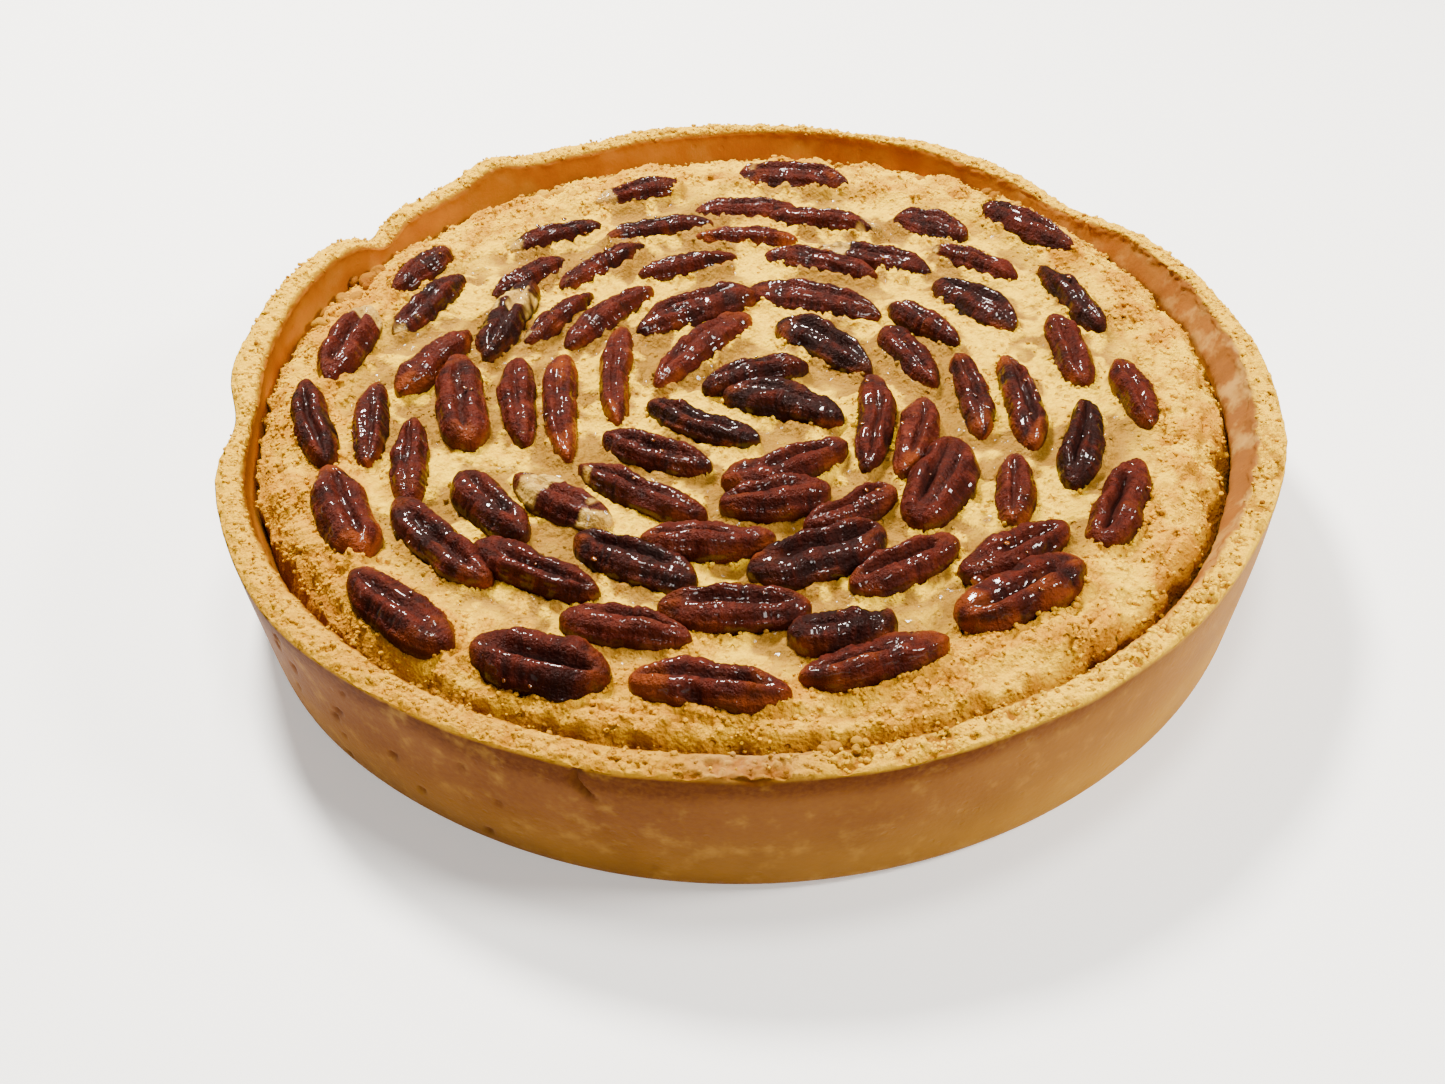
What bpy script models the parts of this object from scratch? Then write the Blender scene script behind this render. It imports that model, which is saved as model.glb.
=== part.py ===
"""Frangipane tart topped with rings of pecan halves, turned out of its tin.

The tart is a pastry case, one baked plug of almond filling in it, and pecan halves on the
filling.  Sizes below are millimetres and MM turns them into metres.  +X is the tart's right-hand
side, +Y its far side and +Z up, with the origin under its middle on the face it stands on.  A
bearing is an angle in degrees round the tart, counted from +X towards +Y.
"""

import math
import random

import bmesh
import bpy
from mathutils import Vector, noise
from mathutils.bvhtree import BVHTree

MM = 0.001
TART = "pecan_frangipane_tart"

# Pastry case: a straight-sided cup that leans out a little from foot to rim.
RIM_RADIUS = 120.0
FOOT_RADIUS = 116.4
RIM_HEIGHT = 37.0
RIM_THICKNESS = 6.2
CREST_ROUND = 2.6
FOOT_ROUND = 2.5
FLOOR_THICKNESS = 5.0
INNER_FOOT_RADIUS = 109.5
INNER_CORNER_ROUND = 4.0
INNER_SPREAD = 1.8
SLOPE_HEIGHT = 30.0
FOOT_SHARE = 0.35
WALL_RIPPLE = 0.5
CREST_RIPPLE = 0.7
SEGMENTS = 96

# Filling: fits the case with a hair's gap up to HUG_HEIGHT, and above it has shrunk inwards.
GAP = 0.35
HUG_HEIGHT = 22.0
EDGE_GAP = 0.7
FILL_LEVEL = 32.2
FILL_TILT = 1.5
FILL_DOME = 1.0
PUFF_RADIUS = 99.0
PUFF_WIDTH = 9.0
PUFF_RISE = 1.6
RISE_START = 78.0
SHOULDER_DROP = 2.6
LUMP_SIZE = 32.0
LUMP_RISE = 0.9
TOP_RINGS = (0.0, 0.18, 0.36, 0.53, 0.68, 0.8, 0.89)

# Uneven baking, each bump as (bearing, change in mm, half-width in degrees).
RIM_BULGES = (
    (16, -1.2, 8),
    (38, -4.0, 12),
    (73, -2.0, 7),
    (97, 1.3, 14),
    (155, 2.3, 24),
    (184, -4.6, 7),
    (219, 1.4, 12),
    (347, 1.2, 12),
)
INNER_BULGES = (
    (40, -1.4, 12),
    (86, 2.6, 20),
    (150, 1.2, 16),
    (183, -2.4, 10),
    (350, 0.9, 30),
)
CREST_BUMPS = (
    (40, -3.0, 10),
    (123.75, 3.4, 4.5),
    (142.5, -4.6, 3.2),
    (156, 1.9, 11),
)
INNER_SLOPE = (
    (352, -3.2, 42),
)
EDGE_SHRINKS = (
    (212, 2.8, 12),
    (265, 0.9, 38),
    (352, 1.3, 40),
)
EDGE_RISES = (
    (48, 2.0, 22),
)

# Pecan halves: height from width, and as shares of that height the lobes' sides, the groove
# between the lobes, the tips and how far one lobe may stand above the other.  A half bows by a
# share of what would follow its ring.
PECAN_BASE_HEIGHT = 2.4
PECAN_HEIGHT_PER_WIDTH = 0.27
LOBE_SIDE = 0.38
GROOVE_DIP = 0.24
TIP_HEIGHT = 0.24
LOBE_LEAN = 0.12
SEAT_GAP = 0.45
OVERLAP_LIFT = 0.5
BOW_SHARE = 0.5
MOST_BOW = 1.6

# Each entry is one pecan half, or halves that baked together.  A half is (bearing, distance) of
# one tip, (bearing, distance) of the other and its width, in degrees and mm, and it bows to the
# right of the way from the first tip to the second.
OUTER_RING = (
    ((30.5, 99, 48, 97.5, 9),),
    ((70.5, 94.5, 89, 96, 9),),
    ((98.5, 94.5, 113.5, 92.5, 8),),
    ((139.5, 97, 153, 96.5, 8.5),),
    ((158.5, 96.5, 176.5, 96.8, 11),),
    ((177, 102, 195, 95.3, 8.5),),
    ((196.5, 94.8, 215.3, 97.8, 11.5),),
    ((217.3, 102, 235, 103, 12),),
    ((236.8, 101, 253.3, 97.5, 14),),
    ((273.5, 100.5, 255.5, 98, 11.5),),
    ((274.5, 96.4, 293, 94.4, 10.5), (274, 84.2, 288.5, 87, 11)),
    ((296, 90, 315, 94, 14.5), (301.5, 79.5, 320.5, 85.3, 10.5)),
    ((319.5, 93.3, 338, 91, 10.5),),
    ((346.3, 92.5, 362.5, 87.5, 8.5),),
)
SECOND_RING = (
    ((356.5, 78.3, 377.3, 78.8, 9),),
    ((11, 88, 30.5, 87.8, 8),),
    ((30.5, 81.3, 48.5, 76.2, 7.5),),
    ((45.5, 86, 59.5, 82.3, 8.5),),
    ((77.5, 80, 97.5, 80, 7.5), (60, 77, 83, 76, 7.5)),
    ((115, 82, 132.5, 86.5, 8),),
    ((143.3, 86, 162.5, 87.5, 8.5),),
    ((176.3, 85, 196.5, 87, 8.5),),
    ((186.5, 75.3, 208, 82, 8.5), (206.5, 84.4, 230.5, 84, 10.5), (222.8, 78, 246, 76.3, 10)),
    ((261.5, 84.2, 243, 85.3, 9.5), (255.5, 77.2, 278.5, 76.6, 11)),
    ((329.5, 80, 351.3, 78.5, 9),),
)
THIRD_RING = (
    ((16.5, 69, 39.3, 62.8, 9.5),),
    ((43.5, 67.5, 70.5, 61.5, 8.5), (51.5, 56.8, 82.5, 55.8, 7.5)),
    ((75.5, 65.5, 99, 67, 8),),
    ((89.5, 55.5, 117.5, 54, 8.5),),
    ((94, 73.5, 116.5, 75.8, 8),),
    ((110, 67.5, 135, 63, 8),),
    ((127, 72.5, 146, 74, 7.5), (138, 69.3, 167, 61.8, 11)),
    ((158.8, 70, 179, 79.5, 10.5), (168.5, 67.8, 198.5, 64.2, 12)),
    ((205.5, 69.3, 227.5, 69.2, 10.5),),
    ((235.3, 64.3, 260.5, 68.3, 11), (247, 58.8, 275.5, 55.4, 10.5)),
    ((269, 65, 297.5, 60.8, 13), (282, 53, 307.3, 52, 8)),
    ((285.5, 72.2, 306.5, 72, 9.5),),
    ((316.5, 75.5, 333, 65, 8.5),),
    ((337, 68.5, 366.5, 61.6, 8.5),),
)
FOURTH_RING = (
    ((15, 53.8, 40.5, 48.5, 8.5),),
    ((131.5, 54.3, 159, 55, 7.5),),
    ((166.5, 53.5, 202.5, 53, 8.5),),
    ((212, 59.3, 239, 56.7, 10),),
    ((303.3, 62.5, 332.3, 52.5, 14), (313.2, 48.8, 348, 41.2, 9)),
    ((337.5, 56.8, 370.5, 51.3, 7.5),),
)
FIFTH_RING = (
    ((357, 44.5, 391.5, 40, 8.5),),
    ((37, 43.3, 86.5, 38.3, 9.5), (83, 37.3, 138.5, 33, 11)),
    ((117, 46.3, 157.5, 44.8, 9),),
    ((138.8, 36.6, 205.5, 31.3, 7.5),),
    ((162.3, 43.7, 214, 47, 8),),
    ((218.5, 46.8, 259, 47.3, 8.5),),
    ((209.5, 36.3, 256, 31, 9),),
    ((261, 36, 313.5, 32.5, 10.5), (261.5, 43.6, 294, 43.4, 10.5)),
    ((308, 41.5, 362.5, 29.8, 9),),
)
CENTRE = (
    ((5.5, 30, 69, 25.5, 10.5),),
    ((84, 28, 178, 20, 9.5),),
    ((195.5, 22.7, 278.5, 21.2, 8.5),),
    ((326, 27, 218, 5.7, 10.5), (18, 16.4, 190, 9.6, 8.5)),
)
RINGS = (OUTER_RING, SECOND_RING, THIRD_RING, FOURTH_RING, FIFTH_RING, CENTRE)


def bumps_at(bearing, bumps):
    """Sum of the rounded bumps at one bearing, in mm."""
    total = 0.0
    for centre, change, half_width in bumps:
        away = (bearing - centre + 180.0) % 360.0 - 180.0
        total += change * math.exp(-((away / half_width) ** 2))
    return total


def blend(low, high, value):
    """0 at low, 1 at high, straight between them and held beyond them."""
    return min(1.0, max(0.0, (value - low) / (high - low)))


def arc(centre_r, centre_z, round_r, round_z, start, end, steps):
    """Profile points on part of an ellipse, from start to end in degrees."""
    points = []
    for step in range(steps + 1):
        angle = math.radians(start + (end - start) * step / steps)
        points.append((centre_r + round_r * math.cos(angle), centre_z + round_z * math.sin(angle)))
    return points


def make_material(name, colour, roughness):
    material = bpy.data.materials.new(name)
    material.use_nodes = True
    shader = material.node_tree.nodes["Principled BSDF"]
    shader.inputs["Base Color"].default_value = (*colour, 1.0)
    shader.inputs["Roughness"].default_value = roughness
    shader.inputs["Metallic"].default_value = 0.0
    return material


def turned_solid(name, profile, material, collection):
    """Turn a profile of (radius, height) points in mm about Z into a closed mesh object."""
    mesh = bpy.data.meshes.new(name)
    corners = [(radius * MM, 0.0, height * MM) for radius, height in profile]
    mesh.from_pydata(corners, [(i, i + 1) for i in range(len(corners) - 1)], [])
    turning = bpy.data.objects.new(name + "_profile", mesh)
    bpy.context.scene.collection.objects.link(turning)
    screw = turning.modifiers.new("Screw", "SCREW")
    screw.axis = "Z"
    screw.steps = SEGMENTS
    screw.render_steps = SEGMENTS
    screw.use_merge_vertices = True
    screw.merge_threshold = 0.00001
    screw.use_smooth_shade = True
    graph = bpy.context.evaluated_depsgraph_get()
    turned = bpy.data.meshes.new_from_object(turning.evaluated_get(graph))
    turned.name = name
    bpy.data.objects.remove(turning)
    solid = bpy.data.objects.new(name, turned)
    solid.data.materials.clear()
    solid.data.materials.append(material)
    collection.objects.link(solid)
    return solid


def reshape(solid, rule):
    """Move every corner by rule(bearing, radius, height), in degrees and mm."""
    for corner in solid.data.vertices:
        x, y, z = corner.co / MM
        radius = math.hypot(x, y)
        if radius < 1.0:
            corner.co.z = rule(0.0, radius, z)[1] * MM
            continue
        bearing = math.degrees(math.atan2(y, x)) % 360.0
        new_radius, new_height = rule(bearing, radius, z)
        corner.co.x = x / radius * new_radius * MM
        corner.co.y = y / radius * new_radius * MM
        corner.co.z = new_height * MM
    solid.data.update()


def inner_radius(height):
    """Radius of the case's inner wall before its bulges: it spreads from floor to rim."""
    low = INNER_FOOT_RADIUS + INNER_SPREAD * blend(FLOOR_THICKNESS, HUG_HEIGHT, height)
    rim = RIM_RADIUS - RIM_THICKNESS
    return low + (rim - low) * blend(HUG_HEIGHT, RIM_HEIGHT - CREST_ROUND, height)


def outer_radius(height):
    """Radius of the case's outer wall before its bulges: it leans out most near the foot."""
    lean = 1.0 - (1.0 - blend(0.0, RIM_HEIGHT, height)) ** 1.5
    return FOOT_RADIUS + (RIM_RADIUS - FOOT_RADIUS) * lean


def inner_bulge(bearing, height):
    """The inner wall is round low down, where the filling fits it, and uneven at the rim.

    Between them it slopes in on the right-hand side, where the pastry slumped.
    """
    rise = blend(HUG_HEIGHT, RIM_HEIGHT - CREST_ROUND, height)
    slumped = blend(HUG_HEIGHT, SLOPE_HEIGHT, height) - blend(SLOPE_HEIGHT, RIM_HEIGHT, height)
    return bumps_at(bearing, INNER_BULGES) * rise + bumps_at(bearing, INNER_SLOPE) * slumped


def outer_bulge(bearing, height, at):
    share = FOOT_SHARE + (1.0 - FOOT_SHARE) * blend(0.0, RIM_HEIGHT, height)
    ripple = WALL_RIPPLE * noise.noise(at * 4.0) * blend(0.0, 8.0, height)
    return bumps_at(bearing, RIM_BULGES) * share + ripple


def case_shape(bearing, radius, height):
    """Push the turned case into the dents, bulges, crest and tear of the baked one."""
    angle = math.radians(bearing)
    at = Vector((math.cos(angle), math.sin(angle), height / RIM_HEIGHT / 2.0))
    across = blend(inner_radius(height), outer_radius(height), radius)
    moved = radius + inner_bulge(bearing, height) * (1.0 - across)
    moved += outer_bulge(bearing, height, at) * across
    crest = bumps_at(bearing, CREST_BUMPS) + CREST_RIPPLE * noise.noise(at * 7.0)
    return moved, height + crest * blend(HUG_HEIGHT, RIM_HEIGHT, height)


def make_case(material, collection):
    corner_centre = INNER_FOOT_RADIUS - INNER_CORNER_ROUND
    profile = [(0.0, FLOOR_THICKNESS)]
    profile += arc(corner_centre, FLOOR_THICKNESS + INNER_CORNER_ROUND,
                   INNER_CORNER_ROUND, INNER_CORNER_ROUND, -90.0, 0.0, 2)
    profile.append((inner_radius(HUG_HEIGHT), HUG_HEIGHT))
    profile.append((inner_radius(SLOPE_HEIGHT), SLOPE_HEIGHT))
    profile += arc(RIM_RADIUS - RIM_THICKNESS / 2.0, RIM_HEIGHT - CREST_ROUND,
                   RIM_THICKNESS / 2.0, CREST_ROUND, 180.0, 0.0, 4)
    for height in (RIM_HEIGHT * 0.65, RIM_HEIGHT * 0.33):
        profile.append((outer_radius(height), height))
    profile += arc(FOOT_RADIUS - FOOT_ROUND, FOOT_ROUND, FOOT_ROUND, FOOT_ROUND, 0.0, -90.0, 2)
    profile.append((0.0, 0.0))
    case = turned_solid("crust", profile, material, collection)
    reshape(case, case_shape)
    return case


def fill_edge_radius(bearing):
    """Where the filling's top meets its side, drawn in from the case's wall."""
    height = FILL_LEVEL - SHOULDER_DROP
    shrink = EDGE_GAP + bumps_at(bearing, EDGE_SHRINKS)
    return inner_radius(height) + inner_bulge(bearing, height) - shrink


def fill_shape(bearing, radius, height):
    """Give the turned plug its tilted, puffed and lumpy top and its shrunken edge."""
    if height <= HUG_HEIGHT:
        return radius, height
    turned_edge = inner_radius(HUG_HEIGHT)
    draw_in = (fill_edge_radius(bearing) / turned_edge - 1.0) * blend(60.0, turned_edge, radius)
    moved = radius * (1.0 + draw_in)
    x = moved * math.cos(math.radians(bearing))
    y = moved * math.sin(math.radians(bearing))
    top = height - FILL_TILT * y / RIM_RADIUS
    top += FILL_DOME * (1.0 - (moved / RIM_RADIUS) ** 2)
    top += PUFF_RISE * math.exp(-(((moved - PUFF_RADIUS) / PUFF_WIDTH) ** 2))
    top += bumps_at(bearing, EDGE_RISES) * blend(RISE_START, PUFF_RADIUS, moved)
    top += LUMP_RISE * noise.noise(Vector((x, y, 7.0)) / LUMP_SIZE)
    return moved, top


def make_filling(material, collection):
    """The top is flat at FILL_LEVEL when turned and drops round the shoulder to the side."""
    edge = inner_radius(HUG_HEIGHT)
    profile = [(edge * share, FILL_LEVEL) for share in TOP_RINGS]
    profile += [
        (edge * 0.945, FILL_LEVEL - SHOULDER_DROP * 0.08),
        (edge * 0.98, FILL_LEVEL - SHOULDER_DROP * 0.3),
        (edge, FILL_LEVEL - SHOULDER_DROP),
        (edge - GAP, HUG_HEIGHT),
    ]
    profile += arc(INNER_FOOT_RADIUS - INNER_CORNER_ROUND, FLOOR_THICKNESS + INNER_CORNER_ROUND,
                   INNER_CORNER_ROUND - GAP, INNER_CORNER_ROUND - GAP, 0.0, -90.0, 2)
    profile.append((0.0, FLOOR_THICKNESS + GAP))
    filling = turned_solid("filling", profile, material, collection)
    reshape(filling, fill_shape)
    return filling


def surface_height(tree, x, y):
    """Height of the filling's top over a point, all in mm."""
    start = Vector((x * MM, y * MM, 2.0 * RIM_HEIGHT * MM))
    hit = tree.ray_cast(start, Vector((0.0, 0.0, -1.0)))
    return hit[0].z / MM


def on_plan(bearing, distance):
    """The point at a bearing and distance from the middle, seen from above, in mm."""
    angle = math.radians(bearing)
    return Vector((math.cos(angle), math.sin(angle))) * distance


def section_rise(angle, lean):
    """Height of a pecan half's cross-section at one corner, as a share of its full height."""
    if math.sin(angle) <= 0.0:
        return 0.0
    share = LOBE_SIDE if math.sin(angle) < 0.5 else 1.0
    if math.sin(angle) > 0.95:
        share -= GROOVE_DIP
    return share * (1.0 + lean * math.cos(angle))


def pecan_half(name, half, lift, tree, material, collection, draw):
    """One pecan half: two lobes with a groove between, tapered tips, lying on the filling.

    It starts as a sphere of ten sides whose poles become the tips, with one row of corners
    along the top for the groove and five rows flat on the filling.
    """
    first_bearing, first_distance, last_bearing, last_distance, width = half
    first_tip = on_plan(first_bearing, first_distance)
    run = on_plan(last_bearing, last_distance) - first_tip
    length = run.length
    along = run / length
    across = Vector((-along.y, along.x))
    bow = min(MOST_BOW, BOW_SHARE * length ** 2 / (4.0 * (first_distance + last_distance)))
    body = bmesh.new()
    bmesh.ops.create_uvsphere(body, u_segments=10, v_segments=6, radius=1.0)
    full_height = PECAN_BASE_HEIGHT + PECAN_HEIGHT_PER_WIDTH * width
    lean = draw.uniform(-LOBE_LEAN, LOBE_LEAN)
    widest = math.cos(math.radians(18.0))
    for corner in body.verts:
        reach = abs(corner.co.z)
        ahead = (corner.co.z + 1.0) * length / 2.0
        angle = math.atan2(corner.co.y, corner.co.x)
        side = width / 2.0 * max(0.0, 1.0 - reach ** 2.3) ** 0.6 * math.cos(angle) / widest
        side -= bow * (1.0 - reach ** 2)
        rise = full_height * max(0.0, 1.0 - reach ** 2.6) ** 0.5 * section_rise(angle, lean)
        if reach > 0.99:
            rise = full_height * TIP_HEIGHT
        spot = first_tip + along * ahead + across * side
        height = surface_height(tree, spot.x, spot.y) + SEAT_GAP + lift + rise
        corner.co = Vector((spot.x, spot.y, height)) * MM
    bmesh.ops.triangulate(body, faces=body.faces)
    bmesh.ops.recalc_face_normals(body, faces=body.faces)
    mesh = bpy.data.meshes.new(name)
    body.to_mesh(mesh)
    body.free()
    mesh.shade_smooth()
    mesh.materials.append(material)
    pecan = bpy.data.objects.new(name, mesh)
    collection.objects.link(pecan)
    return pecan


def join_touching(first, second):
    """Union two pecan halves that baked together into the first one."""
    union = first.modifiers.new("Union", "BOOLEAN")
    union.operation = "UNION"
    union.object = second
    union.solver = "EXACT"
    graph = bpy.context.evaluated_depsgraph_get()
    joined = bpy.data.meshes.new_from_object(first.evaluated_get(graph))
    first.modifiers.remove(union)
    first.data = joined
    bpy.data.objects.remove(second)


def make_pecans(filling, material, collection):
    shape = bmesh.new()
    shape.from_mesh(filling.data)
    tree = BVHTree.FromBMesh(shape)
    shape.free()
    draw = random.Random(11)
    for ring_number, ring in enumerate(RINGS, start=1):
        for number, halves in enumerate(ring, start=1):
            name = f"pecan_{ring_number}_{number:02d}"
            first = pecan_half(name, halves[0], 0.0, tree, material, collection, draw)
            for half in halves[1:]:
                second = pecan_half(name + "_b", half, OVERLAP_LIFT, tree, material,
                                    collection, draw)
                join_touching(first, second)


def main():
    for old in list(bpy.data.objects):
        bpy.data.objects.remove(old)
    collection = bpy.data.collections.new(TART)
    bpy.context.scene.collection.children.link(collection)
    pastry = make_material("baked_pastry", (0.55, 0.30, 0.09), 0.7)
    almond = make_material("almond_filling", (0.72, 0.47, 0.15), 0.8)
    nut = make_material("glazed_pecan", (0.12, 0.025, 0.01), 0.25)
    make_case(pastry, collection)
    filling = make_filling(almond, collection)
    make_pecans(filling, nut, collection)


main()
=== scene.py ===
"""Dressed model of a pecan frangipane tart: baked case, crumbly almond filling, glazed pecan
halves, syrup beads and loose crumbs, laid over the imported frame.

Sizes of the tart are millimetres and MM turns them into metres.  The stage and the fine relief of
the materials are in metres.  A bearing is an angle in degrees round the tart, counted from +X (its
right) towards +Y (its far side).
"""

import math
import random

import bpy
import numpy as np
from bpy.props import FloatProperty, FloatVectorProperty, IntProperty, PointerProperty
from mathutils import Matrix, Vector, noise


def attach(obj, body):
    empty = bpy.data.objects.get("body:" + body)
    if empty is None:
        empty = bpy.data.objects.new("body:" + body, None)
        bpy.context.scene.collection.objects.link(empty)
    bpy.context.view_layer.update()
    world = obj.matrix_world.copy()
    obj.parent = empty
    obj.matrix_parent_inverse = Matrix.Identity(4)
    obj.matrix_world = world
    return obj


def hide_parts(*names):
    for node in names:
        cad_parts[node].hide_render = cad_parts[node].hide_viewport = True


bl_info = {
    "name": "Pecan frangipane tart",
    "version": (1, 0, 0),
    "blender": (4, 5, 0),
    "location": "3D View > Sidebar > Tart",
    "description": "Builds the case, filling, pecans, syrup, crumbs and stage of a baked tart",
    "category": "Object",
}

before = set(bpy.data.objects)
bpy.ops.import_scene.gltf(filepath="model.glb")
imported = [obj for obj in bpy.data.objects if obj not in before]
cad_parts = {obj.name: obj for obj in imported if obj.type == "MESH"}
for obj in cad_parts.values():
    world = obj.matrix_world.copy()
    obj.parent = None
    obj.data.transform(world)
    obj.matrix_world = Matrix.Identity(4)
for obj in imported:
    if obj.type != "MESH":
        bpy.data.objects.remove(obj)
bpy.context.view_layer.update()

MM = 0.001

# Pastry case.
RIM_RADIUS = 120.0
FOOT_RADIUS = 116.4
RIM_HEIGHT = 37.0
RIM_THICKNESS = 6.2
CREST_ROUND = 2.6
FOOT_ROUND = 2.5
FLOOR_THICKNESS = 5.0
INNER_FOOT_RADIUS = 109.5
INNER_CORNER_ROUND = 4.0
INNER_SPREAD = 1.8
LEAN_POWER = 1.5
CREST_POWER = 0.45
SLOPE_HEIGHT = 30.0
FOOT_SHARE = 0.35
WALL_RIPPLE = 0.5
CREST_RIPPLE = 0.7
SOFT_DROP = 1.7
DENT_DEPTH = 0.8
SLOT_DEPTH = 1.3
CRACK_BEARING = 254.5
CRACK_HALF_WIDTH = 0.32
CRACK_DEPTH = 1.6
WELD = 0.01

# Filling.
GAP = 0.35
HUG_HEIGHT = 22.0
EDGE_GAP = 0.7
FILL_LEVEL = 32.2
FILL_TILT = 1.5
FILL_DOME = 1.0
PUFF_RADIUS = 99.0
PUFF_WIDTH = 9.0
PUFF_RISE = 1.6
RISE_START = 78.0
SHOULDER_DROP = 2.6
LUMP_SIZE = 32.0
LUMP_RISE = 0.9
LUMP_SEED = 7.0
SIDE_STEPS = (2.4, 2.8, 5.0)

# Places that bake differently, each as (bearing, half-width in degrees).
SOFT_LEFT = (180.0, 45.0)
SOFT_FAR = (100.0, 45.0)
OPEN_RIM = (305.0, 65.0)
DENTED_WALL = (224.0, 26.0)
SLUMPED_INSIDE = (352.0, 38.0)
ROSY_INSIDE = (352.0, 44.0)
TORN_SLOT = (268.5, 3.2)
TORN_PATCH = (268.0, 7.0)
FRONT_WALL = (262.0, 42.0)
LEFT_WALL = (205.0, 45.0)
RIGHT_WALL = (345.0, 55.0)
FAR_RIGHT_WALL = (60.0, 60.0)
PALE_LEFT_RIM = (175.0, 38.0)
PALE_FAR_RIM = (95.0, 50.0)
PALE_FRONT_RIM = (292.0, 24.0)
BITTEN_EDGE = (350.0, 50.0)
FAR_SIDE = (90.0, 60.0)
FRONT_SEAM = (258.0, 62.0)
BROWN_LEFT = (198.0, 24.0)
BROWN_SLUMP = (156.0, 9.0)
BROWN_FRONT = (262.0, 55.0)

# Uneven baking, each bump as (bearing, change in mm, half-width in degrees).
RIM_BULGES = (
    (16, -1.2, 8),
    (38, -4.0, 12),
    (73, -2.0, 7),
    (97, 1.3, 14),
    (155, 2.3, 24),
    (184, -4.6, 7),
    (219, 1.4, 12),
    (347, 1.2, 12),
)
INNER_BULGES = (
    (40, -1.4, 12),
    (86, 2.6, 20),
    (150, 1.2, 16),
    (183, -2.4, 10),
    (350, 0.9, 30),
)
CREST_BUMPS = (
    (40, -3.0, 10),
    (123.75, 3.4, 4.5),
    (142.5, -4.6, 3.2),
    (156, 1.9, 11),
)
INNER_SLOPE = (
    (352, -3.2, 42),
)
EDGE_SHRINKS = (
    (212, 2.8, 12),
    (265, 0.9, 38),
    (352, 1.3, 40),
)
EDGE_RISES = (
    (48, 2.0, 22),
)

# Pecan halves.
PECAN_BASE_HEIGHT = 2.4
PECAN_HEIGHT_PER_WIDTH = 0.27
SEAT_GAP = 0.45
OVERLAP_LIFT = 0.5
BOW_SHARE = 0.5
MOST_BOW = 1.6
TOP_SHARE = 0.75

# Where the random draws start.
PECAN_SEED = 23
GRAIN_SEED = 31
CRUMB_SEED = 5
SYRUP_SEED = 8

# Loose pieces.
RIM_CRUMB_SHARE = 0.45
RIM_CRUMB_LIFT = CREST_RIPPLE * 0.3 - 0.1
LARGE_BEAD_RISE = 3.4

# Colours that the settings' colours are mixed with.
WALL_SPECK = (0.26, 0.1, 0.01)
WALL_BLOTCH = (0.5, 0.26, 0.04)
LIGHT_AMBER = (0.33, 0.11, 0.005)
CLEAR_AMBER = (0.32, 0.135, 0.012)
BAKED_AMBER = (0.1, 0.026, 0.001)
BRIGHT_RIM = (0.58, 0.29, 0.008)
YELLOW_RIM = (0.78, 0.46, 0.005)
# Painted shade in the rim's crumb valleys and pores.
RIM_VALLEY_SHADE = (0.33, 0.12, 0.004)
RIM_PORE_SHADE = (0.24, 0.07, 0.003)
# Painted shade in the rim's pits and slot.
RIM_SHADE = (0.17, 0.044, 0.002)
CREAMY_DOUGH = (0.32, 0.17, 0.04)
MOIST_DOUGH = (0.22, 0.075, 0.01)
BRIGHT_CRUMB = (0.84, 0.54, 0.002)
GOLDEN_CRUMB = (0.57, 0.275, 0.004)
DAMP_CRUMB = (0.28, 0.14, 0.015)
TAN_KERNEL = (0.32, 0.17, 0.025)
DEEP_SYRUP = (0.04, 0.005, 0.001)
PALE_CRUMB = (0.55, 0.3, 0.006)
BROWNED_CRUMB = (0.17, 0.052, 0.002)

# How far the crumb's grains are bent out of round.
BEND = 0.7

# Camera: angles in degrees, places in metres, lens and sensor in mm.
CAMERA_UP = 41.9
CAMERA_TILT = -2.007
CAMERA_AWAY = 0.40392
CAMERA_AIM = (-0.00588, -0.01548, 0.0)
SENSOR_WIDTH = 36.0
LENS = 42.35

# Colours of the floor's glow and of the even light.
FLOOR_GLOW = (1.0, 0.97, 0.93)
SKY = (1.0, 0.985, 0.96)

# Lights, each as (name, place, size, setting, share of that setting's power, colour), with their
# places, sizes and common aim in metres.
LIGHT_AIM = (0.0, 0.0, 0.03)
LIGHTS = (
    ("key_light", (-0.27, 0.5, 0.78), 0.19, "key", 1.0, (1.0, 0.965, 0.9)),
    ("right_light", (0.75, -0.15, 0.6), 0.22, "fill", 1.0, (1.0, 0.97, 0.92)),
    ("front_light", (0.05, -0.95, 0.75), 0.25, "fill", 0.3, (1.0, 0.98, 0.95)),
    ("top_light", (0.12, 0.1, 1.05), 0.26, "top", 1.0, (1.0, 0.965, 0.9)),
    ("spark_light", (-0.1, 0.75, 0.75), 0.06, "key", 0.06, (1.0, 1.0, 1.0)),
)

# Each entry is one pecan half, or halves that baked together.  A half is (bearing, distance) of
# one tip, (bearing, distance) of the other and its width, in degrees and mm, and it bows to the
# right of the way from the first tip to the second.
OUTER_RING = (
    ((30.5, 99, 48, 97.5, 9),),
    ((70.5, 94.5, 89, 96, 9),),
    ((98.5, 94.5, 113.5, 92.5, 8),),
    ((139.5, 97, 153, 96.5, 8.5),),
    ((158.5, 96.5, 176.5, 96.8, 11),),
    ((177, 102, 195, 95.3, 8.5),),
    ((196.5, 94.8, 215.3, 97.8, 11.5),),
    ((217.3, 102, 235, 103, 12),),
    ((236.8, 101, 253.3, 97.5, 14),),
    ((273.5, 100.5, 255.5, 98, 11.5),),
    ((274.5, 96.4, 293, 94.4, 10.5), (274, 84.2, 288.5, 87, 11)),
    ((296, 90, 315, 94, 14.5), (301.5, 79.5, 320.5, 85.3, 10.5)),
    ((319.5, 93.3, 338, 91, 10.5),),
    ((346.3, 92.5, 362.5, 87.5, 8.5),),
)
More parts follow.
